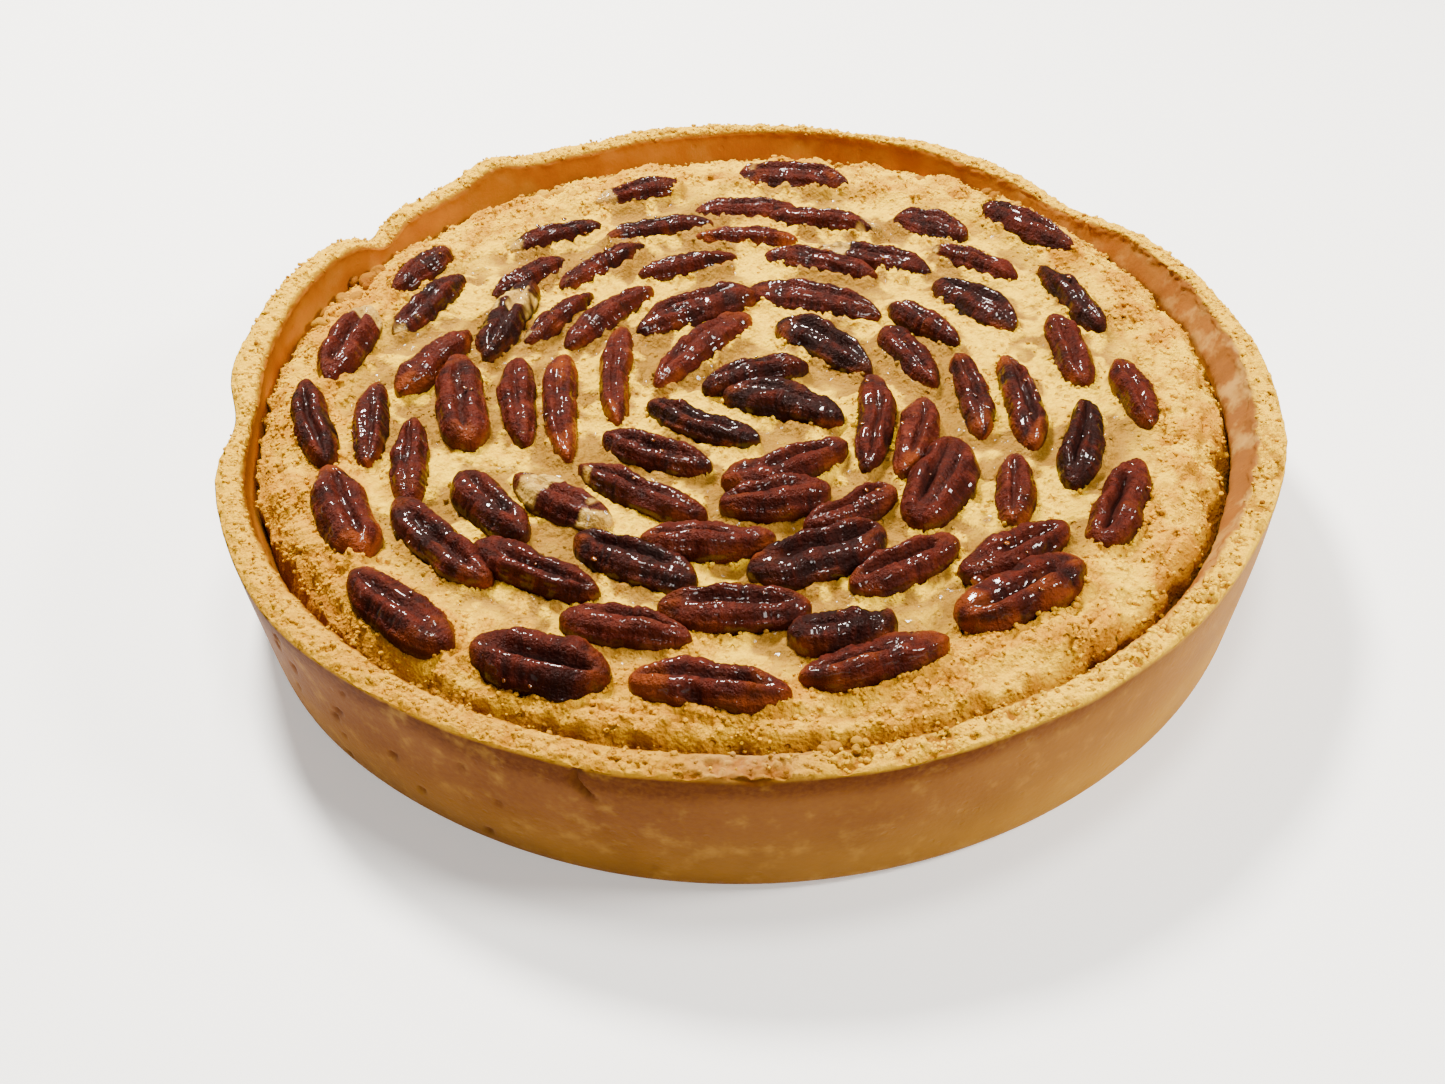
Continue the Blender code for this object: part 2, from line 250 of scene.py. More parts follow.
SECOND_RING = (
    ((356.5, 78.3, 377.3, 78.8, 9),),
    ((11, 88, 30.5, 87.8, 8),),
    ((30.5, 81.3, 48.5, 76.2, 7.5),),
    ((45.5, 86, 59.5, 82.3, 8.5),),
    ((77.5, 80, 97.5, 80, 7.5), (60, 77, 83, 76, 7.5)),
    ((115, 82, 132.5, 86.5, 8),),
    ((143.3, 86, 162.5, 87.5, 8.5),),
    ((176.3, 85, 196.5, 87, 8.5),),
    ((186.5, 75.3, 208, 82, 8.5), (206.5, 84.4, 230.5, 84, 10.5), (222.8, 78, 246, 76.3, 10)),
    ((261.5, 84.2, 243, 85.3, 9.5), (255.5, 77.2, 278.5, 76.6, 11)),
    ((329.5, 80, 351.3, 78.5, 9),),
)
THIRD_RING = (
    ((16.5, 69, 39.3, 62.8, 9.5),),
    ((43.5, 67.5, 70.5, 61.5, 8.5), (51.5, 56.8, 82.5, 55.8, 7.5)),
    ((75.5, 65.5, 99, 67, 8),),
    ((89.5, 55.5, 117.5, 54, 8.5),),
    ((94, 73.5, 116.5, 75.8, 8),),
    ((110, 67.5, 135, 63, 8),),
    ((127, 72.5, 146, 74, 7.5), (138, 69.3, 167, 61.8, 11)),
    ((158.8, 70, 179, 79.5, 10.5), (168.5, 67.8, 198.5, 64.2, 12)),
    ((205.5, 69.3, 227.5, 69.2, 10.5),),
    ((235.3, 64.3, 260.5, 68.3, 11), (247, 58.8, 275.5, 55.4, 10.5)),
    ((269, 65, 297.5, 60.8, 13), (282, 53, 307.3, 52, 8)),
    ((285.5, 72.2, 306.5, 72, 9.5),),
    ((316.5, 75.5, 333, 65, 8.5),),
    ((337, 68.5, 366.5, 61.6, 8.5),),
)
FOURTH_RING = (
    ((15, 53.8, 40.5, 48.5, 8.5),),
    ((131.5, 54.3, 159, 55, 7.5),),
    ((166.5, 53.5, 202.5, 53, 8.5),),
    ((212, 59.3, 239, 56.7, 10),),
    ((303.3, 62.5, 332.3, 52.5, 14), (313.2, 48.8, 348, 41.2, 9)),
    ((337.5, 56.8, 370.5, 51.3, 7.5),),
)
FIFTH_RING = (
    ((357, 44.5, 391.5, 40, 8.5),),
    ((37, 43.3, 86.5, 38.3, 9.5), (83, 37.3, 138.5, 33, 11)),
    ((117, 46.3, 157.5, 44.8, 9),),
    ((138.8, 36.6, 205.5, 31.3, 7.5),),
    ((162.3, 43.7, 214, 47, 8),),
    ((218.5, 46.8, 259, 47.3, 8.5),),
    ((209.5, 36.3, 256, 31, 9),),
    ((261, 36, 313.5, 32.5, 10.5), (261.5, 43.6, 294, 43.4, 10.5)),
    ((308, 41.5, 362.5, 29.8, 9),),
)
CENTRE = (
    ((5.5, 30, 69, 25.5, 10.5),),
    ((84, 28, 178, 20, 9.5),),
    ((195.5, 22.7, 278.5, 21.2, 8.5),),
    ((326, 27, 218, 5.7, 10.5), (18, 16.4, 190, 9.6, 8.5)),
)
RINGS = (OUTER_RING, SECOND_RING, THIRD_RING, FOURTH_RING, FIFTH_RING, CENTRE)

# How each pecan half differs: tone 0 nearly black to 1 tan, groove 0 shallow to 1 deep, amber
# for honey-coloured tips, cream for broken places that show the pale inside (first and last tip),
# gloss for how wet it looks, chunk for how far from the middle the first broken place is, strands
# for the number of torn strands, lumps for lumps of set syrup.  A key is the ring, the entry's
# number in it and the half's place in its entry, and PLAIN_LOOK holds what a row leaves out.
PLAIN_LOOK = dict(
    amber=0.25, cream_start=0.0, cream_end=0.0, gloss=0.75, chunk=0.75, strands=0.0, lumps=0.0
)


def nut(tone, groove, **rest):
    """The whole look of a half: its tone, its groove and what else sets it off from the plain one."""
    return dict(PLAIN_LOOK, tone=tone, groove=groove, **rest)


LOOKS = {
    "1_01_0": nut(0.3, 0.35),
    "1_02_0": nut(0.45, 0.2, amber=0.4, cream_end=0.5),
    "1_03_0": nut(0.4, 0.2, cream_end=0.7),
    "1_04_0": nut(0.35, 0.2),
    "1_05_0": nut(0.6, 0.75, cream_start=0.9, cream_end=0.25),
    "1_06_0": nut(0.3, 0.8, gloss=0.4),
    "1_07_0": nut(0.5, 0.7, amber=0.7),
    "1_08_0": nut(0.4, 0.55, amber=0.35, gloss=0.6),
    "1_09_0": nut(0.35, 1.0, amber=0.3),
    "1_10_0": nut(0.5, 0.75, amber=0.85),
    "1_11_0": nut(0.45, 0.6, amber=0.6),
    "1_11_1": nut(0.15, 0.5, amber=0.3, lumps=1.0, gloss=1.0),
    "1_12_0": nut(0.4, 0.7, amber=0.95),
    "1_12_1": nut(0.5, 0.6),
    "1_13_0": nut(0.55, 0.85, gloss=0.5),
    "1_14_0": nut(0.5, 0.3, amber=0.4),
    "2_01_0": nut(0.5, 0.4, gloss=0.6),
    "2_02_0": nut(0.15, 0.35),
    "2_03_0": nut(0.45, 0.4, cream_start=0.3, cream_end=0.4),
    "2_04_0": nut(0.35, 0.2),
    "2_05_0": nut(0.5, 0.15, amber=0.3, cream_end=0.4),
    "2_05_1": nut(0.5, 0.2, cream_start=0.8),
    "2_06_0": nut(0.3, 0.15, cream_end=0.5),
    "2_07_0": nut(0.3, 0.3, cream_end=0.45),
    "2_08_0": nut(0.35, 0.5, amber=0.5, gloss=1.0),
    "2_09_0": nut(0.4, 0.6),
    "2_09_1": nut(0.35, 0.8, amber=0.4, gloss=1.0),
    "2_09_2": nut(0.4, 0.7, gloss=1.0),
    "2_10_0": nut(0.6, 0.5, gloss=0.6),
    "2_10_1": nut(0.4, 0.7, amber=0.4),
    "2_11_0": nut(0.1, 0.6, gloss=1.0),
    "3_01_0": nut(0.2, 0.3),
    "3_02_0": nut(0.3, 0.3, cream_end=0.8),
    "3_02_1": nut(0.45, 0.3, amber=0.3),
    "3_03_0": nut(0.5, 0.3, amber=1.0),
    "3_04_0": nut(0.4, 0.2),
    "3_05_0": nut(0.25, 0.3, amber=0.4, cream_end=0.45, gloss=1.0),
    "3_06_0": nut(0.35, 0.2, cream_end=0.3),
    "3_07_0": nut(0.4, 0.25, cream_end=0.3),
    "3_07_1": nut(0.12, 0.5, cream_start=0.85, chunk=0.35),
    "3_08_0": nut(0.5, 0.1, amber=0.7, gloss=0.8),
    "3_08_1": nut(0.45, 0.7, amber=0.5),
    "3_09_0": nut(0.35, 0.7, gloss=0.9),
    "3_10_0": nut(0.2, 0.7, amber=0.3),
    "3_10_1": nut(0.6, 0.75, amber=0.5, cream_end=0.3),
    "3_11_0": nut(0.2, 0.8, amber=0.4, gloss=1.0),
    "3_11_1": nut(0.5, 0.6, amber=0.4),
    "3_12_0": nut(0.55, 0.85, amber=0.4, gloss=0.9),
    "3_13_0": nut(0.5, 0.45, amber=0.4),
    "3_14_0": nut(0.3, 0.7, amber=0.6),
    "4_01_0": nut(0.35, 0.3, cream_end=0.45),
    "4_02_0": nut(0.4, 0.2, cream_end=0.3),
    "4_03_0": nut(0.5, 0.35, cream_start=0.2, cream_end=0.35),
    "4_04_0": nut(0.55, 0.3, cream_start=1.0, cream_end=0.6, chunk=0.45),
    "4_05_0": nut(0.45, 0.3, strands=2.0),
    "4_05_1": nut(0.8, 0.6, amber=0.5),
    "4_06_0": nut(0.3, 0.3, amber=0.5),
    "5_01_0": nut(0.35, 0.3),
    "5_02_0": nut(0.4, 0.25),
    "5_02_1": nut(0.35, 0.25),
    "5_03_0": nut(0.45, 0.2, cream_end=0.25),
    "5_04_0": nut(0.55, 0.25, amber=0.6),
    "5_05_0": nut(0.5, 0.3, amber=0.8, cream_end=0.25, gloss=1.0),
    "5_06_0": nut(0.4, 0.6, cream_start=0.35, gloss=0.9),
    "5_07_0": nut(0.4, 0.6, gloss=0.9),
    "5_08_0": nut(0.4, 0.7, amber=0.4, gloss=0.8),
    "5_08_1": nut(0.5, 0.6, cream_start=0.3, amber=0.4),
    "5_09_0": nut(0.4, 0.6),
    "6_01_0": nut(0.1, 0.5, gloss=1.0),
    "6_02_0": nut(0.55, 0.25, amber=0.5),
    "6_03_0": nut(0.15, 0.5, gloss=1.0, amber=0.3),
    "6_04_0": nut(0.14, 0.35, gloss=0.7),
    "6_04_1": nut(0.25, 0.2),
}

# Browned lumps stuck by the wall, each as (bearing, distance, radius in mm, how toasted).
CLODS = (
    (148, 110.0, 2.8, 0.9),
    (151, 109.5, 3.4, 1.0),
    (154.5, 109.5, 3.0, 0.8),
    (158, 108.5, 2.6, 0.9),
    (161.5, 109.3, 2.2, 0.7),
    (120, 106.5, 2.6, 0.35),
    (116.5, 107, 2.0, 0.5),
    (109, 107, 1.5, 0.6),
    (74, 106.5, 1.6, 0.7),
    (61, 107.5, 1.7, 0.8),
    (50, 108.5, 2.3, 0.9),
    (46, 108, 1.8, 0.7),
    (33, 106.5, 1.5, 0.6),
    (193, 104.5, 2.2, 0.7),
    (199, 105, 1.8, 0.8),
    (276, 113.5, 2.0, 0.75),
    (279, 114, 1.6, 0.6),
)

# Large beads of set syrup on pecans, each as (bearing, distance, radius in mm).
LARGE_BEADS = (
    (267, 72.3, 2.2),
    (204.5, 95.5, 0.9),
    (302, 84.0, 1.2),
)


# ---------------------------------------------------------------- settings


def size_setting(name, description, default, low, high):
    """A number that a user may change, kept between low and high."""
    return FloatProperty(name=name, description=description, default=default, min=low, max=high)


def count_setting(name, description, default, low, high):
    """A whole number that a user may change, kept between low and high."""
    return IntProperty(name=name, description=description, default=default, min=low, max=high)


def colour_setting(name, description, default):
    """A colour that a user may change."""
    return FloatVectorProperty(
        name=name, description=description, default=default, min=0.0, max=1.0, size=3, subtype="COLOR"
    )


class CaseSettings(bpy.types.PropertyGroup):
    """Sizes and colours of the pastry case"""

    segments: count_setting("Segments", "Steps round the case", 1000, 96, 1040)
    pit_depth: size_setting("Pit depth", "Depth of the holes in the cut rim, in mm", 1.1, 0.0, 2.0)
    grain: size_setting("Grain", "Height of the rim's crumb, in mm", 0.9, 0.0, 1.5)
    golden: colour_setting("Golden rim", "Pale pastry of the cut rim", (0.42, 0.17, 0.002))
    tan: colour_setting("Tan wall", "Baked outside of the wall", (0.15, 0.053, 0.014))
    brown: colour_setting("Brown wall", "Darkest band below the rim", (0.07, 0.016, 0.002))
    yellow: colour_setting("Yellow wall", "Palest part of the wall", (0.36, 0.168, 0.015))
    rosy: colour_setting("Slumped pastry", "Moist pastry on the inner wall", (0.16, 0.057, 0.013))
    inner: colour_setting("Inner wall", "Smooth amber inside of the wall", (0.22, 0.056, 0.003))


class FillingSettings(bpy.types.PropertyGroup):
    """Sizes and colours of the almond filling"""

    cells: count_setting("Cells", "Squares across the filling's top", 296, 60, 300)
    crumb: size_setting("Crumb", "Height of the crumb, in mm", 1.2, 0.0, 2.5)
    lump: size_setting("Lumps", "Height of the lumps, in mm", 0.7, 0.0, 2.0)
    hug: size_setting("Hug", "How far the filling climbs round each pecan, in mm", 1.9, 0.0, 3.0)
    pale: colour_setting("Pale crumb", "Crumb in the middle", (0.74, 0.44, 0.001))
    toasted: colour_setting("Toasted crumb", "Golden brown puffed ring", (0.47, 0.195, 0.002))
    # Colour of the painted shade in hollows and pores.
    deep: colour_setting("Deep crumb", "Hollows and pores", (0.26, 0.088, 0.003))
    soaked: colour_setting("Soaked crumb", "Wet patches beside the pecans", (0.2, 0.094, 0.009))


class PecanSettings(bpy.types.PropertyGroup):
    """Sizes and colours of the pecan halves"""

    sink: size_setting("Sink", "How far a pecan sits in the filling, in mm", 1.4, 0.0, 3.0)
    wrinkle: size_setting("Wrinkles", "Height of the wrinkles, in mm", 0.55, 0.0, 1.5)
    dark: colour_setting("Dark skin", "Darkest skin", (0.011, 0.002, 0.001))
    red: colour_setting("Red skin", "Red-brown skin", (0.06, 0.006, 0.0017))
    # Partly paler skin, partly painted light on the ridge tops.
    dusty_and_lit: colour_setting("Ridges", "Paler tops of the ridges", (0.115, 0.021, 0.009))
    amber: colour_setting("Amber", "Honey-coloured tips", (0.14, 0.024, 0.002))
    cream: colour_setting("Cream", "Broken kernel", (0.52, 0.32, 0.06))


class SyrupSettings(bpy.types.PropertyGroup):
    """Number and colour of the syrup beads"""

    beads: count_setting("Beads", "Syrup beads", 110, 0, 600)
    colour: colour_setting("Syrup", "Colour of the syrup", (0.2, 0.05, 0.003))


class GrainSettings(bpy.types.PropertyGroup):
    """Numbers and sizes of the half-sunk grains"""

    on_filling: count_setting("On filling", "Grains on the filling", 7000, 1, 9000)
    on_rim: count_setting("On rim", "Grains on the cut rim", 2600, 1, 6000)
    smallest: size_setting("Smallest", "Radius of the smallest grain, in mm", 0.28, 0.1, 1.0)
    largest: size_setting("Largest", "Radius of the largest grain, in mm", 0.75, 0.3, 2.0)


class CrumbSettings(bpy.types.PropertyGroup):
    """Number and sizes of the loose crumbs"""

    crumbs: count_setting("Crumbs", "Loose crumbs", 620, 1, 2000)
    smallest: size_setting("Smallest", "Smallest crumb, in mm", 0.35, 0.1, 1.0)
    largest: size_setting("Largest", "Largest crumb, in mm", 1.1, 0.3, 3.0)


class StageSettings(bpy.types.PropertyGroup):
    """Floor and light of the stage"""

    floor: colour_setting("Floor", "Colour of the floor", (0.82, 0.81, 0.79))
    glow: size_setting("Floor glow", "How much the floor shines by itself", 0.4, 0.0, 5.0)
    key: size_setting("Key light", "Power of the large soft light, in watts", 36.0, 0.0, 100.0)
    fill: size_setting("Fill light", "Power of the light from the right, in watts", 14.0, 0.0, 100.0)
    top: size_setting("Top light", "Power of the light from above, in watts", 12.0, 0.0, 100.0)
    sky: size_setting("Sky", "Strength of the even light", 0.11, 0.0, 5.0)


# ---------------------------------------------------------------- numbers and noise


def blend(low, high, value):
    """0 at low, 1 at high, straight between them and held beyond them."""
    return np.clip((value - low) / (high - low), 0.0, 1.0)


def smooth(low, high, value):
    """0 at low and 1 at high with a soft start and finish."""
    share = blend(low, high, value)
    return share * share * (3.0 - 2.0 * share)


def bell(offset, half_width):
    """1 where the offset is 0, falling to 0 well past half_width on both sides."""
    return np.exp(-((offset / half_width) ** 2))


def bearing_of(x, y):
    """Bearing of each point, 0 to 360 degrees."""
    return np.degrees(np.arctan2(y, x)) % 360.0


def near(bearing, place):
    """1 at the bearing of a place, falling to 0 well past its half-width."""
    centre, half_width = place
    return bell((bearing - centre + 180.0) % 360.0 - 180.0, half_width)


def bumps_at(bearing, bumps):
    """Sum of the rounded bumps at each bearing, in mm."""
    return sum(change * near(bearing, (centre, half_width)) for centre, change, half_width in bumps)


def noise_at(x, y, z):
    """Smooth noise, about -1 to 1, at each point.  A single number stands for every point."""
    field = noise.noise
    return np.array([field(Vector(spot)) for spot in zip(*np.broadcast_arrays(x, y, z))])


def layer(plan, size, seed):
    """Smooth noise over points in plan, its lumps about size mm across; a seed picks the layer."""
    return noise_at(plan[0] / size, plan[1] / size, seed)


def cells_at(x, y, z):
    """Distance from each point to its nearest and second nearest cell centres."""
    field = noise.voronoi
    return np.array([field(Vector(spot))[0][:2] for spot in zip(*np.broadcast_arrays(x, y, z))]).T


def evenly(points, spacing):
    """Points every spacing mm along a line of (radius, height) corners, its ends kept."""
    points = np.array(points, float)
    steps = np.hypot(*np.diff(points, axis=0).T)
    along = np.concatenate(([0.0], np.cumsum(steps)))
    count = max(2, int(round(along[-1] / spacing)) + 1)
    stops = np.linspace(0.0, along[-1], count)
    return np.column_stack([np.interp(stops, along, column) for column in points.T])


def corners_of(mesh):
    """The mesh's corners as an array in mm."""
    flat = np.empty(len(mesh.vertices) * 3)
    mesh.vertices.foreach_get("co", flat)
    return flat.reshape(-1, 3) / MM


def move_corners(mesh, *columns):
    """Put the mesh's corners at these x, y and z in mm."""
    mesh.vertices.foreach_set("co", (np.column_stack(columns) * MM).ravel())
    mesh.update()


def add_masks(mesh, **masks):
    """Keep one number from 0 to 1 per corner under each name that a material reads."""
    for name, values in masks.items():
        mask = mesh.attributes.new(name, "FLOAT", "POINT")
        mask.data.foreach_set("value", np.clip(values, 0.0, 1.0).astype(np.float32))


def mask_of(mesh, name):
    """The numbers kept on a mesh under a mask's name, one for each corner."""
    values = np.empty(len(mesh.vertices))
    mesh.attributes[name].data.foreach_get("value", values)
    return values


# ---------------------------------------------------------------- hand tools


def edit_all():
    """Edit the active piece with all of it selected."""
    bpy.ops.object.mode_set(mode="EDIT")
    bpy.ops.mesh.select_all(action="SELECT")


def start_piece(add, name, **place):
    """Add a primitive with nothing else selected and edit it."""
    bpy.ops.object.select_all(action="DESELECT")
    add(**place)
    piece = bpy.context.object
    piece.name = name
    piece.data.name = name
    edit_all()
    return piece


def settle():
    """Leave edit mode and put the active piece's place in its mesh."""
    bpy.ops.object.mode_set(mode="OBJECT")
    bpy.ops.object.transform_apply(location=True, rotation=False, scale=False)


def extrude(step):
    """Extrude what is selected by a step in metres."""
    bpy.ops.mesh.extrude_region_move(TRANSFORM_OT_translate={"value": step})


def close_up():
    """Turn every face outwards and leave edit mode."""
    bpy.ops.mesh.normals_make_consistent(inside=False)
    bpy.ops.object.mode_set(mode="OBJECT")


def end_piece(piece, material):
    """Give the piece its material, slot and body."""
    piece.data.shade_smooth()
    piece.data.materials.append(material)
    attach(piece, "root")


# ---------------------------------------------------------------- shapes shared with the solids


def inner_radius(height):
    """Radius of the case's plain inner wall, in mm."""
    low = INNER_FOOT_RADIUS + INNER_SPREAD * blend(FLOOR_THICKNESS, HUG_HEIGHT, height)
    rim = RIM_RADIUS - RIM_THICKNESS
    return low + (rim - low) * blend(HUG_HEIGHT, RIM_HEIGHT - CREST_ROUND, height)


def outer_radius(height):
    """Radius of the case's plain outer wall, in mm."""
    lean = 1.0 - (1.0 - blend(0.0, RIM_HEIGHT, height)) ** LEAN_POWER
    return FOOT_RADIUS + (RIM_RADIUS - FOOT_RADIUS) * lean


def inner_bulge(bearing, height):
    """How far the inner wall stands out from its plain place, in mm."""
    rise = blend(HUG_HEIGHT, RIM_HEIGHT - CREST_ROUND, height)
    slumped = blend(HUG_HEIGHT, SLOPE_HEIGHT, height) - blend(SLOPE_HEIGHT, RIM_HEIGHT, height)
    return bumps_at(bearing, INNER_BULGES) * rise + bumps_at(bearing, INNER_SLOPE) * slumped


def fill_edge_radius(bearing):
    """Radius of the filling's top edge, in mm."""
    height = FILL_LEVEL - SHOULDER_DROP
    shrink = EDGE_GAP + bumps_at(bearing, EDGE_SHRINKS)
    return inner_radius(height) + inner_bulge(bearing, height) - shrink


def filling_level(x, y):
    """Height of the filling's smooth top, before its crumb, at points in mm."""
    x = np.atleast_1d(np.asarray(x, float))
    y = np.atleast_1d(np.asarray(y, float))
    distance = np.hypot(x, y)
    top = FILL_LEVEL - FILL_TILT * y / RIM_RADIUS
    top = top + FILL_DOME * (1.0 - (distance / RIM_RADIUS) ** 2)
    top += PUFF_RISE * bell(distance - PUFF_RADIUS, PUFF_WIDTH)
    top += bumps_at(bearing_of(x, y), EDGE_RISES) * blend(RISE_START, PUFF_RADIUS, distance)
    top += LUMP_RISE * layer((x, y), LUMP_SIZE, LUMP_SEED / LUMP_SIZE)
    return top


def level_at(spot):
    """Height of the filling's smooth top at one spot of the plan, in mm."""
    return float(filling_level(spot[0], spot[1])[0])


def on_plan(bearing, distance):
    """Spot of the plan at a bearing and a distance from the middle."""
    angle = math.radians(bearing)
    return Vector((math.cos(angle), math.sin(angle))) * distance


class PecanPlace:
    """Where one pecan half lies: its first tip, its run, its bow, its width and its looks."""

    def __init__(self, half, key, lift):
        first_bearing, first_distance, last_bearing, last_distance, self.width = half
        self.first = on_plan(first_bearing, first_distance)
        run = on_plan(last_bearing, last_distance) - self.first
        self.length = run.length
        self.along = run / self.length
        self.across = Vector((-self.along.y, self.along.x))
        reach = 4.0 * (first_distance + last_distance)
        self.bow = min(MOST_BOW, BOW_SHARE * self.length ** 2 / reach)
        self.height = PECAN_BASE_HEIGHT + PECAN_HEIGHT_PER_WIDTH * self.width
        self.lift = lift
        self.look = LOOKS[key]

    def off_edge(self, x, y):
        """Distance in mm outside the half's outline; below 0 inside it."""
        off_x = x - self.first.x
        off_y = y - self.first.y
        ahead = (off_x * self.along.x + off_y * self.along.y) / self.length * 2.0 - 1.0
        side = off_x * self.across.x + off_y * self.across.y
        side = side + self.bow * (1.0 - np.clip(ahead, -1.0, 1.0) ** 2)
        inside = np.clip(np.abs(ahead), 0.0, 0.999)
        edge = self.width / 2.0 * (1.0 - inside ** 2.3) ** 0.6
        past = np.maximum(0.0, np.abs(ahead) - 0.97) * self.length / 2.0
        return np.where(past > 0.0, np.hypot(past, np.abs(side)), np.abs(side) - edge)


def all_places():
    """Every pecan half with the CAD node that it belongs to."""
    places = []
    for ring_number, ring in enumerate(RINGS, start=1):
        for number, halves in enumerate(ring, start=1):
            key = f"{ring_number}_{number:02d}"
            for part, half in enumerate(halves):
                lift = OVERLAP_LIFT if part else 0.0
                places.append((f"pecan_{key}", PecanPlace(half, f"{key}_{part}", lift)))
    return places


def off_pecans(x, y):
    """Distance in mm from each point to the nearest pecan's outline; below 0 inside one."""
    return np.minimum.reduce([place.off_edge(x, y) for _node, place in all_places()])


# ---------------------------------------------------------------- material tools


class Graph:
    """Short ways to add and join nodes in one node tree, over one place on the surface."""

    def __init__(self, tree, place=None):
        self.tree = tree
        self.place = self.add("ShaderNodeTexCoord").outputs["Object"] if place is None else place

    def add(self, kind, values=None, **settings):
        """A new node with its settings made and its sockets fed."""
        made = self.tree.nodes.new(kind)
        for name, value in settings.items():
            setattr(made, name, value)
        self.feed_all(made.inputs, values or {})
        return made

    def feed(self, socket, value):
        """Join a socket to the value, or set it where the value is a number or a colour."""
        if isinstance(value, bpy.types.NodeSocket):
            self.tree.links.new(value, socket)
        elif socket.type == "RGBA":
            socket.default_value = (*value, 1.0)
        else:
            socket.default_value = value

    def feed_all(self, sockets, values):
        """Feed several sockets, each under its name or number."""
        for name, value in values.items():
            self.feed(sockets[name], value)

    def combine(self, operation, *values):
        """The result of one step of arithmetic."""
        return self.add("ShaderNodeMath", dict(enumerate(values)), operation=operation).outputs[0]

    def times(self, first, second):
        """The product of two values."""
        return self.combine("MULTIPLY", first, second)

    def scaled(self, value, factor, base):
        """The value times a factor, on top of a base."""
        return self.combine("MULTIPLY_ADD", value, factor, base)

    def mix(self, share, first, second):
        """The first colour, turned into the second one by a share."""
        values = {0: share, 6: first, 7: second}
        return self.add("ShaderNodeMix", values, data_type="RGBA").outputs[2]

    def spread(self, value, low, high, to_low=0.0, to_high=1.0):
        """The value from low to high turned softly into to_low to to_high."""
        values = {"Value": value, "From Min": low, "From Max": high, "To Min": to_low, "To Max": to_high}
        return self.add("ShaderNodeMapRange", values, interpolation_type="SMOOTHSTEP").outputs["Result"]

    def noise(self, scale, detail=2.0, roughness=0.5):
        """Smooth noise over the surface, 0 to 1."""
        values = {"Vector": self.place, "Scale": scale, "Detail": detail, "Roughness": roughness}
        return self.add("ShaderNodeTexNoise", values).outputs["Fac"]

    def patches(self, scale, detail, roughness, low, high, most=1.0):
        """Soft patches, 0 where the noise is below low and most where it is above high."""
        return self.spread(self.noise(scale, detail, roughness), low, high, 0.0, most)

    def masks(self, *names):
        """The masks kept on the mesh under these names."""
        return [self.add("ShaderNodeAttribute", attribute_name=name).outputs["Fac"] for name in names]


def crumb_group():
    """Baked crumb: grains packed together, with pores between some of them."""
    if "baked_crumb" in bpy.data.node_groups:
        return bpy.data.node_groups["baked_crumb"]
    tree = bpy.data.node_groups.new("baked_crumb", "ShaderNodeTree")
    for label, kind in (("Place", "Vector"), ("Grain size", "Float"), ("Pore size", "Float")):
        tree.interface.new_socket(label, in_out="INPUT", socket_type="NodeSocket" + kind)
    for label in ("Height", "Pores", "Mottle"):
        tree.interface.new_socket(label, in_out="OUTPUT", socket_type="NodeSocketFloat")
    given = tree.nodes.new("NodeGroupInput").outputs
    graph = Graph(tree, given["Place"])
    bend = graph.add("ShaderNodeTexNoise", {"Vector": graph.place, "Scale": 700.0, "Detail": 1.0})
    values = {0: bend.outputs["Color"], 1: (BEND * MM,) * 3, 2: graph.place}
    bent = graph.add("ShaderNodeVectorMath", values, operation="MULTIPLY_ADD").outputs[0]
    values = {"Vector": bent, "Scale": given["Grain size"]}
    grain = graph.add("ShaderNodeTexVoronoi", values, feature="SMOOTH_F1").outputs["Distance"]
    values = {"Vector": bent, "Scale": given["Pore size"]}
    pore_cell = graph.add("ShaderNodeTexVoronoi", values, feature="F1").outputs["Distance"]
    hole = graph.spread(pore_cell, 0.16, 0.3, 1.0, 0.0)
    pores = graph.times(hole, graph.patches(110.0, 2.0, 0.5, 0.5, 0.62))
    fine = graph.noise(1900.0, 3.0, 0.65)
    height = graph.scaled(fine, 0.8, graph.combine("SUBTRACT", 1.0, grain))
    height = graph.combine("SUBTRACT", height, graph.times(pores, 1.2))
    values = {"Height": height, "Pores": pores, "Mottle": graph.noise(260.0, 4.0, 0.6)}
    graph.add("NodeGroupOutput", values)
    return tree


def new_material(name):
    """A new material, its graph and its shader."""
    material = bpy.data.materials.new(name)
    material.use_nodes = True
    return material, Graph(material.node_tree), material.node_tree.nodes["Principled BSDF"]


def add_bump(graph, shader, height, strength, distance):
    """Fine relief on a shader, its distance in metres."""
    bump = graph.add("ShaderNodeBump", {"Height": height, "Strength": strength, "Distance": distance})
    graph.feed(shader.inputs["Normal"], bump.outputs["Normal"])


def use_crumb(graph, grain_size, pore_size):
    """The crumb's height, pores and mottle on this material."""
    used = graph.add("ShaderNodeGroup", node_tree=crumb_group())
    graph.feed_all(used.inputs, {"Place": graph.place, "Grain size": grain_size, "Pore size": pore_size})
    return used.outputs


